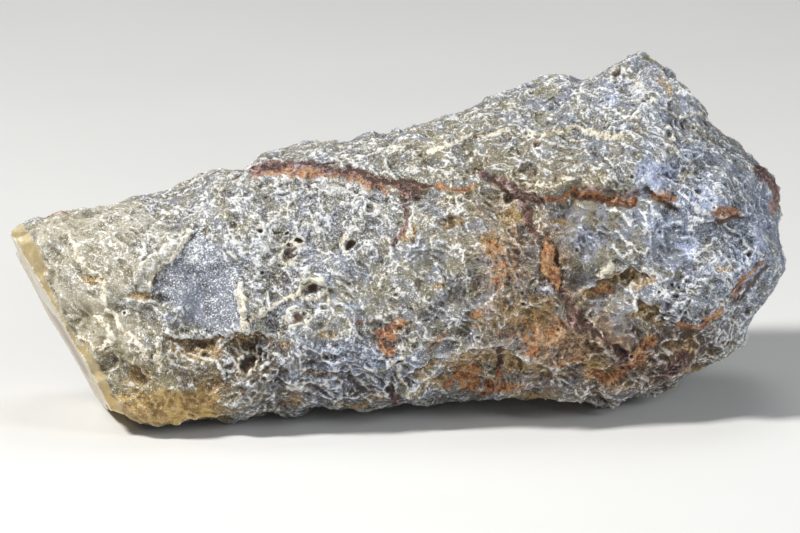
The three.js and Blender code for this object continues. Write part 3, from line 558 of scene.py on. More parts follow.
class SawCut:
    """The plane of the sawn end, read from the frame's largest flat face to the left."""

    def __init__(self, stone):
        stone.data.calc_loop_triangles()
        groups = {}
        for triangle in stone.data.loop_triangles:
            if triangle.normal.x < -0.5:
                direction = tuple(round(part, 2) for part in triangle.normal)
                groups.setdefault(direction, []).append(triangle)
        flat = max(groups.values(), key=lambda group: sum(t.area for t in group))
        normal = sum((t.normal * t.area for t in flat), Vector())
        self.normal = np.array(normal.normalized())
        middle = sum((t.center * t.area for t in flat), Vector()) / sum(t.area for t in flat)
        self.middle = np.array(middle) / MM

    def outside(self, points):
        """How far beyond the cut each point is."""
        return (points - self.middle) @ self.normal

    def chipped(self, points):
        """From 0 on the old rind to 1 on the fresh chips along the rim."""
        return smoothstep(*CHIPS, self.outside(points) + 1.4 * noise(points, 6, 40))


def fine_skin(stone):
    """A copy of the CAD stone as an even, fine mesh of four-sided faces."""
    skin = bpy.data.objects.new("rough_agate", stone.data.copy())
    bpy.context.scene.collection.objects.link(skin)
    remesh = skin.modifiers.new("even", "REMESH")
    remesh.mode = "VOXEL"
    remesh.voxel_size = VOXEL * MM
    bake(skin)
    return skin


def bake(thing):
    """Applies an object's modifiers to its mesh."""
    bpy.context.view_layer.update()
    evaluated = thing.evaluated_get(bpy.context.evaluated_depsgraph_get())
    mesh = bpy.data.meshes.new_from_object(evaluated)
    thing.modifiers.clear()
    old = thing.data
    thing.data = mesh
    bpy.data.meshes.remove(old)


def wandering(points):
    """Points moved about a little, so that the marks drawn on the front don't run straight."""
    return drifted(drifted(points, 3.2, 0.7, 50), 1.1, 0.4, 55)


def front_relief(points, facing, sight):
    """How far the front's lines, spots, plates and ledges move the surface outwards."""
    out = np.zeros(len(points))
    front = facing > RELIEF_FADE[0]
    seen = sight.pixels(wandering(points[front]))
    rough = np.clip(0.7 + 0.9 * noise(points[front], 1.5, 61) + 0.5 * noise(points[front], 0.8, 62), 0, 2)
    height = np.zeros(len(seen))
    for _, _, _, half, raised, path in LINES:
        away, _ = beside(seen, path)
        height += 0.55 * raised * rough * np.exp(-(away / half) ** 2)
    for _, _, _, raised, at, radii in SPOTS:
        away = np.hypot(*((seen - at) * PIXEL / radii).T)
        height += raised * np.exp(-(away / 1.05) ** 4)
        if raised < RIMMED_PIT:
            height += 0.35 * rough * np.exp(-((away - 1.35) / 0.28) ** 2)
    for _, _, _, raised, corners in PLATES:
        height += raised * smoothstep(-0.3, 0.3, inside(seen, corners))
    for _, lip, undercut, _, path in LEDGES:
        away, above = beside(seen, path)
        over = smoothstep(-0.45, 0.45, above)
        height += over * lip * np.exp(-(away / 1.6) ** 2) - (1 - over) * undercut * np.exp(-(away / 2.1) ** 2)
    out[front] = height * smoothstep(*RELIEF_FADE, facing[front])
    return out


def ridges(points, size, salt, octaves=3):
    """Crest lines that branch into finer ones, from 0 between them to about 1 on top."""
    total = np.zeros(len(points))
    weight = 1
    for octave in range(octaves):
        sharp = np.clip(1 - 1.5 * np.abs(noise(points, size / 2**octave, salt + octave)), 0, 1) ** 2
        total += weight * sharp / 2**octave
        weight = np.clip(1.4 * sharp, 0, 1)
    return total / 1.6


def streaky(points):
    """The points, drawn together along the slant that the crests on the front run in."""
    return points - (1 - 1 / STREAK_LENGTH) * (points @ STREAK)[:, None] * STREAK


def ruggedness(points, facing, sight):
    """From 0 where the rind is smooth to 1 where it is a frosted crust of crests."""
    crust = np.full(len(points), 0.2)
    front = facing > STAIN_FADE[0]
    seen = sight.pixels(points[front])
    fade = smoothstep(*STAIN_FADE, facing[front])
    own = 0.05 + 0.6 * shade(seen, "frost") - 0.1 * shade(seen, "pale")
    own += 0.35 * shade(seen, "rust") + 0.4 * shade(seen, "dark")
    crust[front] = crust[front] * (1 - fade) + own * fade
    return smoothstep(-0.45, 0.5, 0.85 * noise(points, 9, 2) + 0.45 * noise(points, 3.4, 6) + crust)


def pits(points):
    """How deep in a round pit of the rind each point is, and how much on the rim of one, from 0 to 1."""
    deep = np.zeros(len(points))
    rim = deep.copy()
    for spacing, rarity, smallest, largest, salt in PITS:
        nearest, _, own = scattered(points, spacing, salt, 1)
        radius = smallest + (largest - smallest) * (own - rarity) / (1 - rarity)
        away = np.where(own > rarity, nearest * spacing / radius, 9)
        deep = np.maximum(deep, smoothstep(1.1, 0.45, away))
        rim = np.maximum(rim, np.exp(-((away - 1.4) / 0.35) ** 2))
    return deep, rim


def rind_relief(points, rugged, waxy):
    """The crests, bowls, pits and grains of the whole rind. The finest fade out where it is waxy."""
    loose = drifted(points, 9, 2.4, 10)
    loose = drifted(loose, 2.6, 0.5, 20)
    slanted = streaky(loose)
    unfilled = 1 - 0.75 * waxy
    out = 0.35 * noise(points, 9, 3) + 0.2 * noise(loose, 3.4, 4) - 0.45
    for size, bowl, half, salt in BOWLS:
        nearest, second, own = scattered(slanted, size, salt)
        edge = (second - nearest) * size
        broken = smoothstep(-0.3, 0.5, noise(points, 1.6 * size, salt + 5))
        if size < WAXED:
            bowl = bowl * unfilled
        out += 0.8 * bowl * broken * np.exp(-(edge / half) ** 2)
        out -= bowl * (0.15 + 0.85 * own) * smoothstep(0, 0.62 * size, edge) * (0.5 + 0.5 * rugged)
    crests = LONG_HEIGHT * ridges(slanted, LONG_CREST, 30)
    crests += SHORT_HEIGHT * ridges(slanted, SHORT_CREST, 40, 2)
    finest = FINE_HEIGHT * ridges(drifted(slanted, 1.4, 0.2, 60), FINE_CREST, 65, 2) - 0.05
    deep, rim = pits(points)
    out += (0.4 + 0.6 * rugged) * crests
    out += unfilled * (0.2 + 0.8 * rugged) * finest
    out += (0.3 + 0.7 * rugged) * (PIT_RIM * rim - PIT_DEPTH * deep)
    out += (0.06 + 0.08 * rugged) * noise(points, 0.8, 8)
    return out


def carve(skin, cut, sight):
    """Gives the skin its relief, and keeps the saw cut and the worn feet flat."""
    points = vertices_of(skin)
    edges = edges_of(skin)
    count = len(points)
    sawn = cut.outside(points) > -0.5 * VOXEL
    resting = points[:, 2] < 0.5 * VOXEL
    smooth = spread(points, edges, count, SMOOTHING)
    smooth[sawn] = points[sawn]
    smooth[resting] = points[resting]
    set_vertices(skin, smooth)
    normals = normals_of(skin)
    facing = -(normals @ sight.away)

    seen = sight.pixels(smooth)
    fade = smoothstep(*RELIEF_FADE, facing)
    near_cut = cut.chipped(smooth)
    fresh = np.maximum(fade * smoothstep(-0.6, 1.0, beyond_rind(seen)), near_cut * (1 - fade))
    facet = smoothstep(-0.3, 1.2, inside(seen, FACET)) * fade
    waxy = np.clip(shade(seen, "pale") + shade(seen, "amber"), 0, 1) * fade
    calm = (1 - 0.93 * fresh) * (1 - 0.75 * facet) * (1 - 0.1 * waxy)

    relief = calm * rind_relief(smooth, ruggedness(smooth, facing, sight), waxy)
    relief += (1 - 0.9 * fresh) * front_relief(smooth, facing, sight)
    relief += 0.18 * fresh * noise(smooth, 5, 45)
    relief *= smoothstep(0, 1.6, -cut.outside(smooth)) * smoothstep(0, 1.2, smooth[:, 2])
    carved = smooth + relief[:, None] * normals
    outside = cut.outside(carved)
    flat = sawn | (outside > 0)
    carved[flat] -= outside[flat][:, None] * cut.normal
    carved[:, 2] = np.where(resting, 0, np.maximum(carved[:, 2], 0))
    set_vertices(skin, carved)


def marks_on(seen):
    """How strongly the front's lines, spots, plates and ledges tint each place in the photograph."""
    marks = {tint: np.zeros(len(seen)) for tint in TINTS}

    def mark(tint, share):
        marks[tint] = np.maximum(marks[tint], share)

    for _, tint, strength, half, _, path in LINES:
        away, _ = beside(seen, path)
        narrowed = 0.75 if tint == "cream" else 1
        mark(tint, strength * line_share(away, narrowed * half))
    for _, tint, strength, raised, at, radii in SPOTS:
        away = np.hypot(*((seen - at) * PIXEL / radii).T)
        mark(tint, strength * np.clip(1 - away / 2, 0, 1))
        if raised < DEEP_PIT:
            mark("cream", 0.75 * np.exp(-((away - 1.5) / 0.4) ** 2))
    for _, tint, strength, _, corners in PLATES:
        mark(tint, strength * smoothstep(-0.4, 0.4, inside(seen, corners)))
    # With the dark tint, the mark below a ledge is a painted shadow.
    for _, _, _, tint, path in LEDGES:
        away, above = beside(seen, path)
        mark(tint, 0.85 * line_share(away, 1.3) * smoothstep(0.35, -0.35, above))
    return marks


def stain(skin, cut, sight):
    """How rusty, creamy, frosted and so on each vertex of the skin is, and where shade is painted on it, for
    its material.
    """
    points = vertices_of(skin)
    edges = edges_of(skin)
    count = len(points)
    normals = normals_of(skin)
    broad = spread(normals, edges, count, SMOOTHING)
    facing = -(broad @ sight.away)
    front = facing > STAIN_FADE[0]
    seen = sight.pixels(wandering(points[front]))
    fade = smoothstep(*STAIN_FADE, facing[front])

    def in_view(values):
        """What holds only in the photograph's view, on every vertex."""
        everywhere = np.zeros(count)
        everywhere[front] = fade * values
        return everywhere

    stored = {tint: in_view(share) for tint, share in marks_on(seen).items()}
    deep, rim = pits(points)
    rugged = ruggedness(points, facing, sight)
    # Painted shade in the bottoms of the pits.
    stored["dark"] = np.maximum(stored["dark"], 0.75 * deep)
    stored["cream"] = np.maximum(stored["cream"], 0.5 * rim * rugged)
    stored["rugged"] = rugged

    out_of_view = 1 - smoothstep(-0.05, 0.3, facing)
    stored["rust"] += out_of_view * far_seams(points)
    for salt, (tint, most) in enumerate(FAR_PATCHES.items(), 81):
        patch = smoothstep(0.1, 0.75, noise(points, FAR_PATCH_SIZE, salt)) * out_of_view
        stored[tint + "_shade"] = in_view(shade(seen, tint)) + most * patch

    stored["crest"] = relief_of(points, broad, edges, 5) / 0.12
    stored["lump"] = relief_of(points, broad, edges, 40) / 0.5

    sawn = smoothstep(-0.12, -0.03, cut.outside(points)) * smoothstep(0.9, 0.97, normals @ cut.normal)
    fresh = cut.chipped(points)
    fresh[front] = np.where(fade > 0.5, smoothstep(-0.6, 0.6, beyond_rind(seen)), fresh[front])
    stored["sawn"] = sawn
    stored["fresh"] = np.maximum(fresh, sawn)
    stored["rim"] = rim_distance(points, sawn > 0.5)
    stored["facet"] = in_view(smoothstep(-1.2, 1.0, inside(seen, FACET)))
    return stored


def stretches(skin, stored):
    """The skin as several meshes in a row that meet edge to edge, and share the normals where they meet."""
    points = vertices_of(skin)
    normals = normals_of(skin)
    corners = np.empty(len(skin.data.loops), np.int32)
    skin.data.loops.foreach_get("vertex_index", corners)
    faces = corners.reshape(-1, 4)
    along = points[faces].mean(axis=1)[:, 0]
    limits = np.quantile(along, np.linspace(0, 1, STRETCHES + 1))
    number = np.clip(np.searchsorted(limits, along) - 1, 0, STRETCHES - 1)
    parts = []
    for place in range(STRETCHES):
        used, index = np.unique(faces[number == place], return_inverse=True)
        mesh = bpy.data.meshes.new(f"rough_agate_{place + 1}")
        mesh.from_pydata(points[used] * MM, [], index.reshape(-1, 4))
        for name, values in stored.items():
            attribute = mesh.attributes.new(name, "FLOAT", "POINT")
            attribute.data.foreach_set("value", values[used].astype(np.float32))
        mesh.shade_smooth()
        mesh.normals_split_custom_set_from_vertices(normals[used])
        parts.append(bpy.data.objects.new(mesh.name, mesh))
    bpy.data.objects.remove(skin)
    return parts


def far_seams(points):
    """Iron seams on the sides that the photograph doesn't show, where warped sheets cross the rind."""
    moved = drifted(points, 22, 7, 90)
    moved = drifted(moved, 5, 1.2, 95)
    broken = smoothstep(-0.5, 0.2, noise(points, 13, 97))
    lines = [line_share(np.abs(moved[:, [0, 2]] @ slant - place), half) for slant, place, half in FAR_SEAMS]
    return np.max(lines, axis=0) * broken


def relief_of(points, normals, edges, rounds):
    """How far each point stands out of its neighbourhood."""
    smooth = spread(points, edges, len(points), rounds)
    return ((points - smooth) * normals).sum(axis=1)


def rim_distance(points, sawn):
    """How far each point of the cut is from the rim."""
    rest = np.flatnonzero(~sawn)
    tree = KDTree(len(rest))
    for index in rest:
        tree.insert(points[index], index)
    tree.balance()
    away = np.zeros(len(points))
    for index in np.flatnonzero(sawn):
        away[index] = tree.find(points[index])[2]
    return away


class Term:
    """A node's output in an expression, so that 1 - mask adds the Math node it stands for."""

    def __init__(self, finish, socket):
        self.finish = finish
        self.socket = socket

    def math(self, operation, *others):
        return self.finish.math(operation, self, *others)

    def __add__(self, other):
        return self.math("ADD", other)

    def __sub__(self, other):
        return self.math("SUBTRACT", other)

    def __mul__(self, other):
        return self.math("MULTIPLY", other)

    def __rsub__(self, other):
        return self.finish.math("SUBTRACT", other, self)

    __radd__ = __add__
    __rmul__ = __mul__

    def clipped(self):
        return self.finish.add("ShaderNodeClamp", {}, {"Value": self})[0]

    def over(self, low, high):
        """0 below low and 1 above high."""
        settings = {"interpolation_type": "SMOOTHSTEP"}
        inputs = {"Value": self, "From Min": low, "From Max": high}
        return self.finish.add("ShaderNodeMapRange", settings, inputs)[0]

    def most(self, other):
        return self.math("MAXIMUM", other)


def set_stops(ramp, stops):
    while len(ramp.elements) < len(stops):
        ramp.elements.new(1)
    for element, (position, colour) in zip(ramp.elements, stops):
        element.position = position
        element.color = (*colour, 1)


class Finish:
    """A material that is built from expressions."""

    def __init__(self, name):
        self.material = bpy.data.materials.new(name)
        self.material.use_nodes = True
        self.tree = self.material.node_tree
        self.shader = self.tree.nodes["Principled BSDF"]

    def add(self, kind, settings, inputs):
        """Adds a node and returns its outputs. A ramp's stops are given as a setting."""
        node = self.tree.nodes.new(kind)
        stops = settings.pop("stops", None)
        for name, value in settings.items():
            setattr(node, name, value)
        if stops:
            set_stops(node.color_ramp, stops)
        for name, value in inputs.items():
            self.feed(node.inputs[name], value)
        return [Term(self, socket) for socket in node.outputs if socket.enabled]

    def math(self, operation, *values):
        return self.add("ShaderNodeMath", {"operation": operation}, dict(enumerate(values)))[0]

    def feed(self, socket, value):
        """Links a term to a socket, or sets the socket's own value."""
        if isinstance(value, Term):
            self.tree.links.new(value.socket, socket)
        elif isinstance(value, tuple) and len(value) == 3 and socket.type == "RGBA":
            socket.default_value = (*value, 1)
        else:
            socket.default_value = value

    def stored(self, name):
        """What the mesh stores under a name."""
        return self.add("ShaderNodeAttribute", {"attribute_name": name}, {})[2]

    def places(self):
        """Places on the surface in millimetres."""
        node = self.tree.nodes.new("ShaderNodeTexCoord")
        scale = {0: Term(self, node.outputs["Object"]), "Scale": 1 / MM}
        return self.add("ShaderNodeVectorMath", {"operation": "SCALE"}, scale)[0]

    def noise(self, places, size, detail=2, roughness=0.5):
        inputs = {"Vector": places, "Scale": 1 / size, "Detail": detail, "Roughness": roughness}
        return self.add("ShaderNodeTexNoise", {}, inputs)

    def moved(self, places, size, reach):
        """Places that noise has moved about."""
        colour = self.noise(places, size)[1]
        centred = {0: colour, 1: (0.5, 0.5, 0.5)}
        shift = self.add("ShaderNodeVectorMath", {"operation": "SUBTRACT"}, centred)[0]
        inputs = {0: shift, 1: (reach, reach, reach), 2: places}
        return self.add("ShaderNodeVectorMath", {"operation": "MULTIPLY_ADD"}, inputs)[0]

    def slanted(self, places):
        """Places drawn together along the slant of the crests."""
        inputs = {"Vector": places, "Rotation": (0, STREAK_SLANT, 0), "Scale": (STREAK_LENGTH, 1, 1)}
        return self.add("ShaderNodeMapping", {"vector_type": "TEXTURE"}, inputs)[0]

    def crests(self, places, size, sharpness):
        """1 along the lines where noise crosses its middle, down to 0 away from them."""
        level = self.noise(places, size, 2, 0.5)[0] - 0.5
        return (1 - sharpness * level.math("ABSOLUTE")).clipped()

    def cell_edges(self, places, size, sharpness):
        """1 along the edges between scattered cells, down to 0 away from them."""
        settings = {"feature": "DISTANCE_TO_EDGE"}
        away = self.add("ShaderNodeTexVoronoi", settings, {"Vector": places, "Scale": 1 / size})[0]
        return (1 - sharpness * away).clipped()

    def blend(self, share, below, above, how="MIX"):
        """One colour laid over another by a share."""
        settings = {"data_type": "RGBA", "blend_type": how}
        return self.add("ShaderNodeMix", settings, {0: share, 6: below, 7: above})[0]

    def ramp(self, stops, share):
        """A colour from a row of stops."""
        return self.add("ShaderNodeValToRGB", {"stops": stops}, {"Fac": share})[0]

    def height_of(self, places):
        return self.add("ShaderNodeSeparateXYZ", {}, {0: places})[2]

    def layers(self, across, along, size, roughness):
        """Noise that changes as one value does and wavers with another."""
        places = self.add("ShaderNodeCombineXYZ", {}, {"X": across, "Y": along})[0]
        return self.noise(places, size, 3, roughness)[0]

    def set(self, **values):
        """Sets the shader's own sockets."""
        for name, value in values.items():
            self.feed(self.shader.inputs[name.replace("_", " ")], value)


# The rind's colours, as linear light.
OLIVE_DARK = (0.085, 0.060, 0.024)
SLATE_DARK = (0.068, 0.064, 0.070)
OLIVE = (0.222, 0.204, 0.132)
SLATE = (0.188, 0.205, 0.245)
IVORY = (0.54, 0.505, 0.42)
ICE = (0.49, 0.54, 0.64)
FROST = (0.86, 0.86, 0.85)
WARM = (1, 0.86, 0.58)
RUSTY = (1, 0.58, 0.28)
BLUISH = (0.84, 0.97, 1.25)
# Painted shade, multiplied into the hollows and over the shaded places.
PAINTED_SHADE = (0.30, 0.21, 0.14)
PALE = (0.42, 0.385, 0.29)
PALE_DARK = (0.21, 0.175, 0.10)
AMBER = (0.50, 0.325, 0.085)
AMBER_DARK = (0.23, 0.125, 0.024)
CREAM = (0.84, 0.80, 0.68)
CREAM_SHADE = (0.42, 0.32, 0.15)
HONEY = (0.145, 0.083, 0.020)
HONEY_LIGHT = (0.47, 0.30, 0.09)
STEEL = (0.40, 0.47, 0.68)
STEEL_DARK = (0.11, 0.13, 0.21)
# Painted shade in the pits, cavities and gaps, and along the seams' edges.
RECESS_SHADE = (0.085, 0.042, 0.021)
RUST_STOPS = [(0.28, (0.032, 0.012, 0.008)), (0.41, (0.16, 0.052, 0.021)), (0.5, (0.31, 0.108, 0.035)),
              (0.6, (0.47, 0.195, 0.06)), (0.72, (0.61, 0.32, 0.115)), (0.86, (0.60, 0.44, 0.31))]
VIOLET_STOPS = [(0.3, (0.020, 0.009, 0.013)), (0.43, (0.09, 0.031, 0.027)), (0.56, (0.21, 0.086, 0.064)),
                (0.7, (0.34, 0.185, 0.14)), (0.85, (0.42, 0.33, 0.35))]

# The colours of the chips along the sawn rim, and of the sawn face's bands, layers and hills.
CHIP_DARK = (0.29, 0.225, 0.11)
CHIP = (0.46, 0.39, 0.24)
CHIP_PALE = (0.66, 0.62, 0.50)
BAND_TAN = (0.36, 0.27, 0.14)
BAND_CREAM = (0.62, 0.55, 0.40)
EDGE_CREAM = (0.62, 0.58, 0.48)
SKY_GREY = (0.50, 0.47, 0.40)
SKY_CREAM = (0.66, 0.60, 0.46)
HILL_DARK = (0.10, 0.06, 0.03)
HILL_BROWN = (0.30, 0.16, 0.06)
HILL_TOP = 21

# The floor's colours, and the lights: name, place and size in metres, power in watts and colour.
# All the lights shine at one point.
FLOOR_GREY = (0.60, 0.60, 0.59)
FLOOR_PALE = (0.64, 0.64, 0.63)
LIGHTS = [
    ("key", (-0.55, -0.3, 0.75), 0.15, 13, (1, 0.985, 0.96)),
    ("right", (0.75, -0.5, 0.45), 0.35, 4.5, (0.94, 0.97, 1)),
    ("front", (0.1, -1.0, 0.16), 0.6, 2.4, (0.97, 0.98, 1)),
    ("top", (0.1, 0.25, 0.8), 0.4, 1.5, (1, 1, 1)),
]
AIM = (0, 0, 0.03)
STUDIO_COLOUR = (0.9, 0.95, 1, 1)
STUDIO_STRENGTH = 0.11


class Rind:
    """The rind's colours, laid over one another, each where the skin stores it and broken up by noise."""

    def __init__(self, finish, places):
        self.finish = finish
        loose = finish.moved(finish.moved(places, 2.2, 0.8), 0.6, 0.2)
        self.crest = finish.stored("crest")
        self.lump = finish.stored("lump")
        self.rugged = finish.stored("rugged")
        self.facet = finish.stored("facet")
        self.honey_shade = finish.stored("honey_shade")
        self.blue_shade = finish.stored("blue_shade")
        self.rust_shade = finish.stored("rust_shade")
        self.wide = finish.noise(places, 5, 3, 0.6)[0] - 0.5
        self.medium = finish.noise(loose, 1.7, 3, 0.6)[0] - 0.5
        self.grain = finish.noise(places, 0.45, 2, 0.75)[0] - 0.5
        self.flecks = finish.noise(places, 0.27, 1, 0.7)[0] - 0.5
        self.coolness = finish.noise(places, 3.7, 3, 0.65)[0] - 0.5
        self.net = self.crest_net(finish.slanted(loose))
        frosting = finish.stored("frost_shade") + 1.2 * finish.stored("frost") + 0.9 * self.wide
        self.bloom = self.total(0.05 + 0.45 * frosting, rugged=0.35, lump=0.05, facet=-0.25).clipped()
        # The crest and lump weights in these three paint shade: lighter on the crests and darker in the
        # hollows.
        self.rough = self.total(0.5, grain=1.1, medium=1.1, wide=0.6, crest=0.05, lump=0.05)
        self.soft = self.total(0.41, grain=0.35, medium=0.6, wide=0.5, crest=0.14, lump=0.15)
        fine = (0.9 * self.grain + 0.7 * self.medium) * self.total(0.8, rugged=0.2, facet=-0.25)
        netted = self.net * (0.08 + 0.2 * self.bloom)
        self.value = self.total(0.39 + fine + netted, wide=0.5, crest=0.15, lump=0.13, bloom=0.1, facet=-0.05)
        self.spread_stains()
        self.white = self.whiteness()

    def total(self, start, **weights):
        """A value with some of the rind's terms added, each times its weight."""
        for name, weight in weights.items():
            start = start + weight * getattr(self, name)
        return start

    def crest_net(self, slanted):
        """1 along fine crests that net the rind, down to 0 between them."""
        finish = self.finish
        web = finish.cell_edges(slanted, 2.7, 8).most(finish.cell_edges(slanted, 1.3, 6) * 0.8)
        return finish.crests(slanted, 4.6, 20).most(web * (0.5 + 2.6 * self.medium).clipped())

    def spread_stains(self):
        """Finds how much of each stain shows."""
        stored = self.finish.stored
        pale = self.total(stored("pale") + stored("pale_shade"), wide=0.9, medium=0.7)
        honey = self.total(stored("honey"), medium=0.9, grain=0.5, crest=-0.12, lump=-0.1, wide=0.7)
        honey = self.total(honey, honey_shade=0.15, rust_shade=0.1)
        amber = self.total(stored("amber") + stored("amber_shade"), medium=0.9, grain=0.5)
        blue = self.total(stored("blue"), medium=0.9, grain=0.6)
        rust = self.total(stored("rust"), rust_shade=0.17, medium=1.2, grain=1.1)
        violet = self.total(stored("violet"), medium=0.9, grain=0.7)
        self.pale = pale.over(0.3, 0.8)
        self.honey = honey.over(0.25, 0.75)
        self.amber = amber.over(0.15, 0.95)
        self.blue = blue.over(0.3, 0.75)
        self.rust = rust.over(0.38, 0.66)
        self.violet = violet.over(0.38, 0.66)
        self.stained = self.rust.most(self.violet)
        self.waxy = self.pale.most(self.amber)

    def whiteness(self):
        """How white the frost is, on the crests, in flecks and along the white threads."""
        crusted = self.net * (0.42 + 0.3 * self.bloom) + (0.14 + 0.16 * self.bloom) * self.crest
        crusted = self.total(crusted, grain=1.9, medium=0.9, bloom=0.25)
        crusted = self.total(crusted, stained=-0.35, rust_shade=-0.12, waxy=-0.1, amber=-0.17)
        flecked = self.total(self.flecks, bloom=0.08, facet=0.02).over(0.14, 0.19)
        flecked = flecked * self.total(0.35, bloom=0.55, facet=0.5, amber=-0.1)
        threads = self.total(self.finish.stored("frost"), medium=0.9, grain=0.9).over(0.7, 1.1)
        white = crusted.over(0.45, 0.88).most(flecked).most(0.9 * threads)
        return (white * (1 - 0.7 * self.stained)).clipped()

    def colour(self):
        tone = self.stains(self.washes(self.ground()))
        tone = self.finish.blend(self.white, tone, FROST)
        return self.hollows(self.cream(tone))

    def ground(self):
        """Olive and slate with random tone, and painted shade: darker in the hollows and lighter on the
        crests.
        """
        blend = self.finish.blend
        cool = self.total(self.coolness, blue_shade=0.25, honey_shade=-0.25, facet=0.3)
        hue = self.total(cool, grain=0.25, medium=0.2).over(-0.16, 0.16)
        dark = blend(hue, OLIVE_DARK, SLATE_DARK)
        tone = blend(self.value.over(0.14, 0.40), dark, blend(hue, OLIVE, SLATE))
        return blend(self.value.over(0.46, 0.85), tone, blend(hue, IVORY, ICE))

    def washes(self, tone):
        """Broad warm, bluish and rusty washes over the ground."""
        warm = self.total(self.honey_shade, wide=0.9, medium=0.6)
        bluish = self.total(self.blue_shade, wide=0.9, medium=0.6)
        rusty = self.rust_shade * self.total(0.8, wide=3, medium=2.5)
        for wash, colour in ((warm, WARM), (bluish, BLUISH), (rusty, RUSTY)):
            tone = self.finish.blend(wash.clipped(), tone, colour, "MULTIPLY")
        return tone

    def stains(self, tone):
        """Pale wax, honey, amber, steel blue, rust and violet, in that order."""
        blend = self.finish.blend
        ramp = self.finish.ramp
        layers = [
            (self.pale * 0.8, blend(self.soft.over(0.2, 0.5), PALE_DARK, PALE)),
            (self.honey * 0.85, blend(self.value.over(0.2, 0.55), HONEY, HONEY_LIGHT)),
            (self.amber * 0.92, blend((self.soft + 0.25 * self.wide).over(0.2, 0.6), AMBER_DARK, AMBER)),
            (self.blue * 0.85, blend(self.value.over(0.2, 0.55), STEEL_DARK, STEEL)),
            (self.rust * 0.92, ramp(RUST_STOPS, self.rough + 0.12 * self.rust_shade)),
            (self.violet * 0.92, ramp(VIOLET_STOPS, 1.5 * self.rough - 0.3)),
        ]
        for share, colour in layers:
            tone = blend(share, tone, colour)
        return tone

    def cream(self, tone):
        """Cream ribs and threads."""
        blend = self.finish.blend
        cream = self.total(self.finish.stored("cream"), medium=1.5, grain=1.1, crest=0.06)
        colour = blend((0.7 * cream + self.rough).over(0.7, 1.15), CREAM_SHADE, CREAM)
        return blend(cream.over(0.42, 0.62) * 0.9, tone, colour)

    def hollows(self, tone):
        """Painted shade: a dusky colour multiplied over the hollows and the shaded places, and a darker
        painted shade in the pits, cavities and gaps.
        """
        blend = self.finish.blend
        # Painted shade: how strongly the dark and rusty shades darken a place, more in its hollows.
        gloomy = self.finish.stored("dark_shade") + 0.3 * self.rust_shade
        shadow = gloomy * self.total(1, medium=1.8, crest=-0.4, lump=-0.4) - 0.1
        shadow = self.total(shadow, medium=0.6, crest=-0.2, lump=-0.2).clipped()
        shadow = shadow * (1 - 0.6 * self.honey.most(self.rust))
        # The dark tint: painted shade in the pits, cavities and gaps.
        dark = self.total(self.finish.stored("dark"), medium=0.6, grain=0.3, crest=-0.05)
        # Painted shade, multiplied in by the shadow share.
        tone = blend(shadow, tone, PAINTED_SHADE, "MULTIPLY")
        return blend(dark.over(0.4, 0.8) * 0.92, tone, RECESS_SHADE)

    def height(self):
        """The finest crests and grains, for the bump."""
        fine = self.total(0.2 * self.net, grain=1, medium=0.7, flecks=0.35) * (0.5 + 0.5 * self.rugged)
        fine = fine * (1 - 0.3 * self.facet) * (1 - 0.35 * self.waxy)
        return fine + 0.3 * self.stained * self.grain

    def roughness(self):
        return self.total(0.5, white=0.2, waxy=-0.12, amber=-0.1)


def cut_colour(finish, places):
    """The sawn face: bands that follow the rim, and level layers with dark hills in the middle."""
    blend = finish.blend
    wave = finish.noise(places, 9, 2)[0]
    depth = finish.stored("rim") + 2.4 * (wave - 0.5)
    stripes = finish.layers(depth, wave * 0.6, 0.8, 0.7)
    banded = blend(stripes.over(0.38, 0.62), BAND_TAN, BAND_CREAM)
    banded = blend(depth.over(0.5, 1.8), EDGE_CREAM, banded)
    height = finish.height_of(finish.moved(places, 14, 5))
    sky = blend(finish.layers(height, wave, 1.7, 0.6).over(0.35, 0.65), SKY_GREY, SKY_CREAM)
    hills = (HILL_TOP - height + 6 * (finish.noise(places, 7, 4, 0.65)[0] - 0.5)).over(-0.6, 0.6)
    land = blend(finish.noise(places, 1.5, 4, 0.7)[0].over(0.35, 0.65), HILL_DARK, HILL_BROWN)
    return blend(depth.over(6.2, 7.4), banded, blend(hills * 0.85, sky, land))


def chip_colour(finish, places):
    """The fresh chips along the sawn rim, pale where they stand out and amber low down."""
    medium = finish.noise(places, 3.4, 3, 0.6)[0]
    chip = finish.blend(medium.over(0.35, 0.7), CHIP_DARK, CHIP)
    raised = finish.stored("crest") * 0.4 + medium - 0.3
    chip = finish.blend(raised.over(0.3, 0.8), chip, CHIP_PALE)
    low = 1 - finish.height_of(places).over(3, 20)
    return finish.blend(low * 0.6, chip, AMBER)


def agate_finish():
    """The stone's one material: frosted rind, waxy fresh chips and the sawn face."""
    finish = Finish("agate")
    places = finish.places()
    rind = Rind(finish, places)
    sawn = finish.stored("sawn")
    fresh = (finish.stored("fresh") + 0.9 * (finish.noise(places, 1.4, 3)[0] - 0.5)).over(0.3, 0.75)
    colour = finish.blend(fresh, rind.colour(), chip_colour(finish, places))
    finish.set(Base_Color=finish.blend(sawn, colour, cut_colour(finish, places)))
    finish.set(Roughness=rind.roughness() - 0.2 * fresh, IOR=1.54)
    height = rind.height() * (1 - fresh * 0.92) * (1 - sawn)
    inputs = {"Height": height, "Distance": 0.9 * MM, "Strength": 1}
    finish.set(Normal=finish.add("ShaderNodeBump", {}, inputs)[0])
    return finish.material


def floor_finish():
    finish = Finish("pale floor")
    grain = finish.noise(finish.places(), 60, 2)[0]
    finish.set(Base_Color=finish.blend(grain, FLOOR_GREY, FLOOR_PALE), Roughness=0.75)
    return finish.material


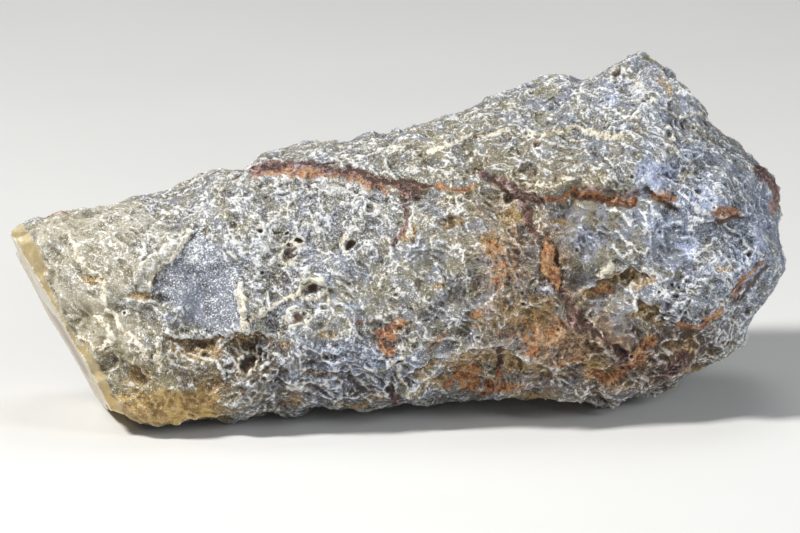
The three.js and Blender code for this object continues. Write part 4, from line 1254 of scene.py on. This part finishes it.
def make_floor():
    """A pale floor under the stone."""
    reach = 6
    mesh = bpy.data.meshes.new("floor")
    corners = [(-reach, -reach, 0), (reach, -reach, 0), (reach, reach, 0), (-reach, reach, 0)]
    mesh.from_pydata(corners, [], [(0, 1, 2, 3)])
    floor = bpy.data.objects.new("floor", mesh)
    bpy.context.scene.collection.objects.link(floor)
    mesh.materials.append(floor_finish())


def make_camera(sight):
    """A camera at the photograph's viewing angle, with the stone where the photograph has it."""
    data = bpy.data.cameras.new("camera")
    data.sensor_width = 36
    data.lens = data.sensor_width * EYE_DISTANCE / (PHOTO_SIZE[0] * PIXEL)
    data.clip_end = 100
    camera = bpy.data.objects.new("camera", data)
    camera.location = Vector(sight.eye) * MM
    camera.rotation_euler = Vector(sight.away).to_track_quat("-Z", "Y").to_euler()
    bpy.context.scene.collection.objects.link(camera)
    bpy.context.scene.camera = camera


def make_light(name, place, size, power, colour):
    """A soft square light that shines at the stone."""
    data = bpy.data.lights.new(name, "AREA")
    data.size = size
    data.energy = power
    data.color = colour
    light = bpy.data.objects.new(name, data)
    light.location = place
    light.rotation_euler = (Vector(AIM) - Vector(place)).to_track_quat("-Z", "Y").to_euler()
    bpy.context.scene.collection.objects.link(light)


def make_studio():
    """A faint even light from all round."""
    world = bpy.data.worlds.new("studio")
    bpy.context.scene.world = world
    world.use_nodes = True
    background = world.node_tree.nodes["Background"]
    background.inputs["Color"].default_value = STUDIO_COLOUR
    background.inputs["Strength"].default_value = STUDIO_STRENGTH


def make_stone():
    """The dressed stone, which stands for the CAD solid."""
    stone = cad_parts[STONE]
    sight = Sight(stone)
    cut = SawCut(stone)
    skin = fine_skin(stone)
    carve(skin, cut, sight)
    agate = agate_finish()
    for part in stretches(skin, stain(skin, cut, sight)):
        bpy.context.scene.collection.objects.link(part)
        part.data.materials.append(agate)
        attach(part, "root")
        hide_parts(STONE)
    return sight


sight = make_stone()
make_floor()
make_camera(sight)
for light in LIGHTS:
    make_light(*light)
make_studio()
bpy.context.scene.view_settings.view_transform = "Standard"
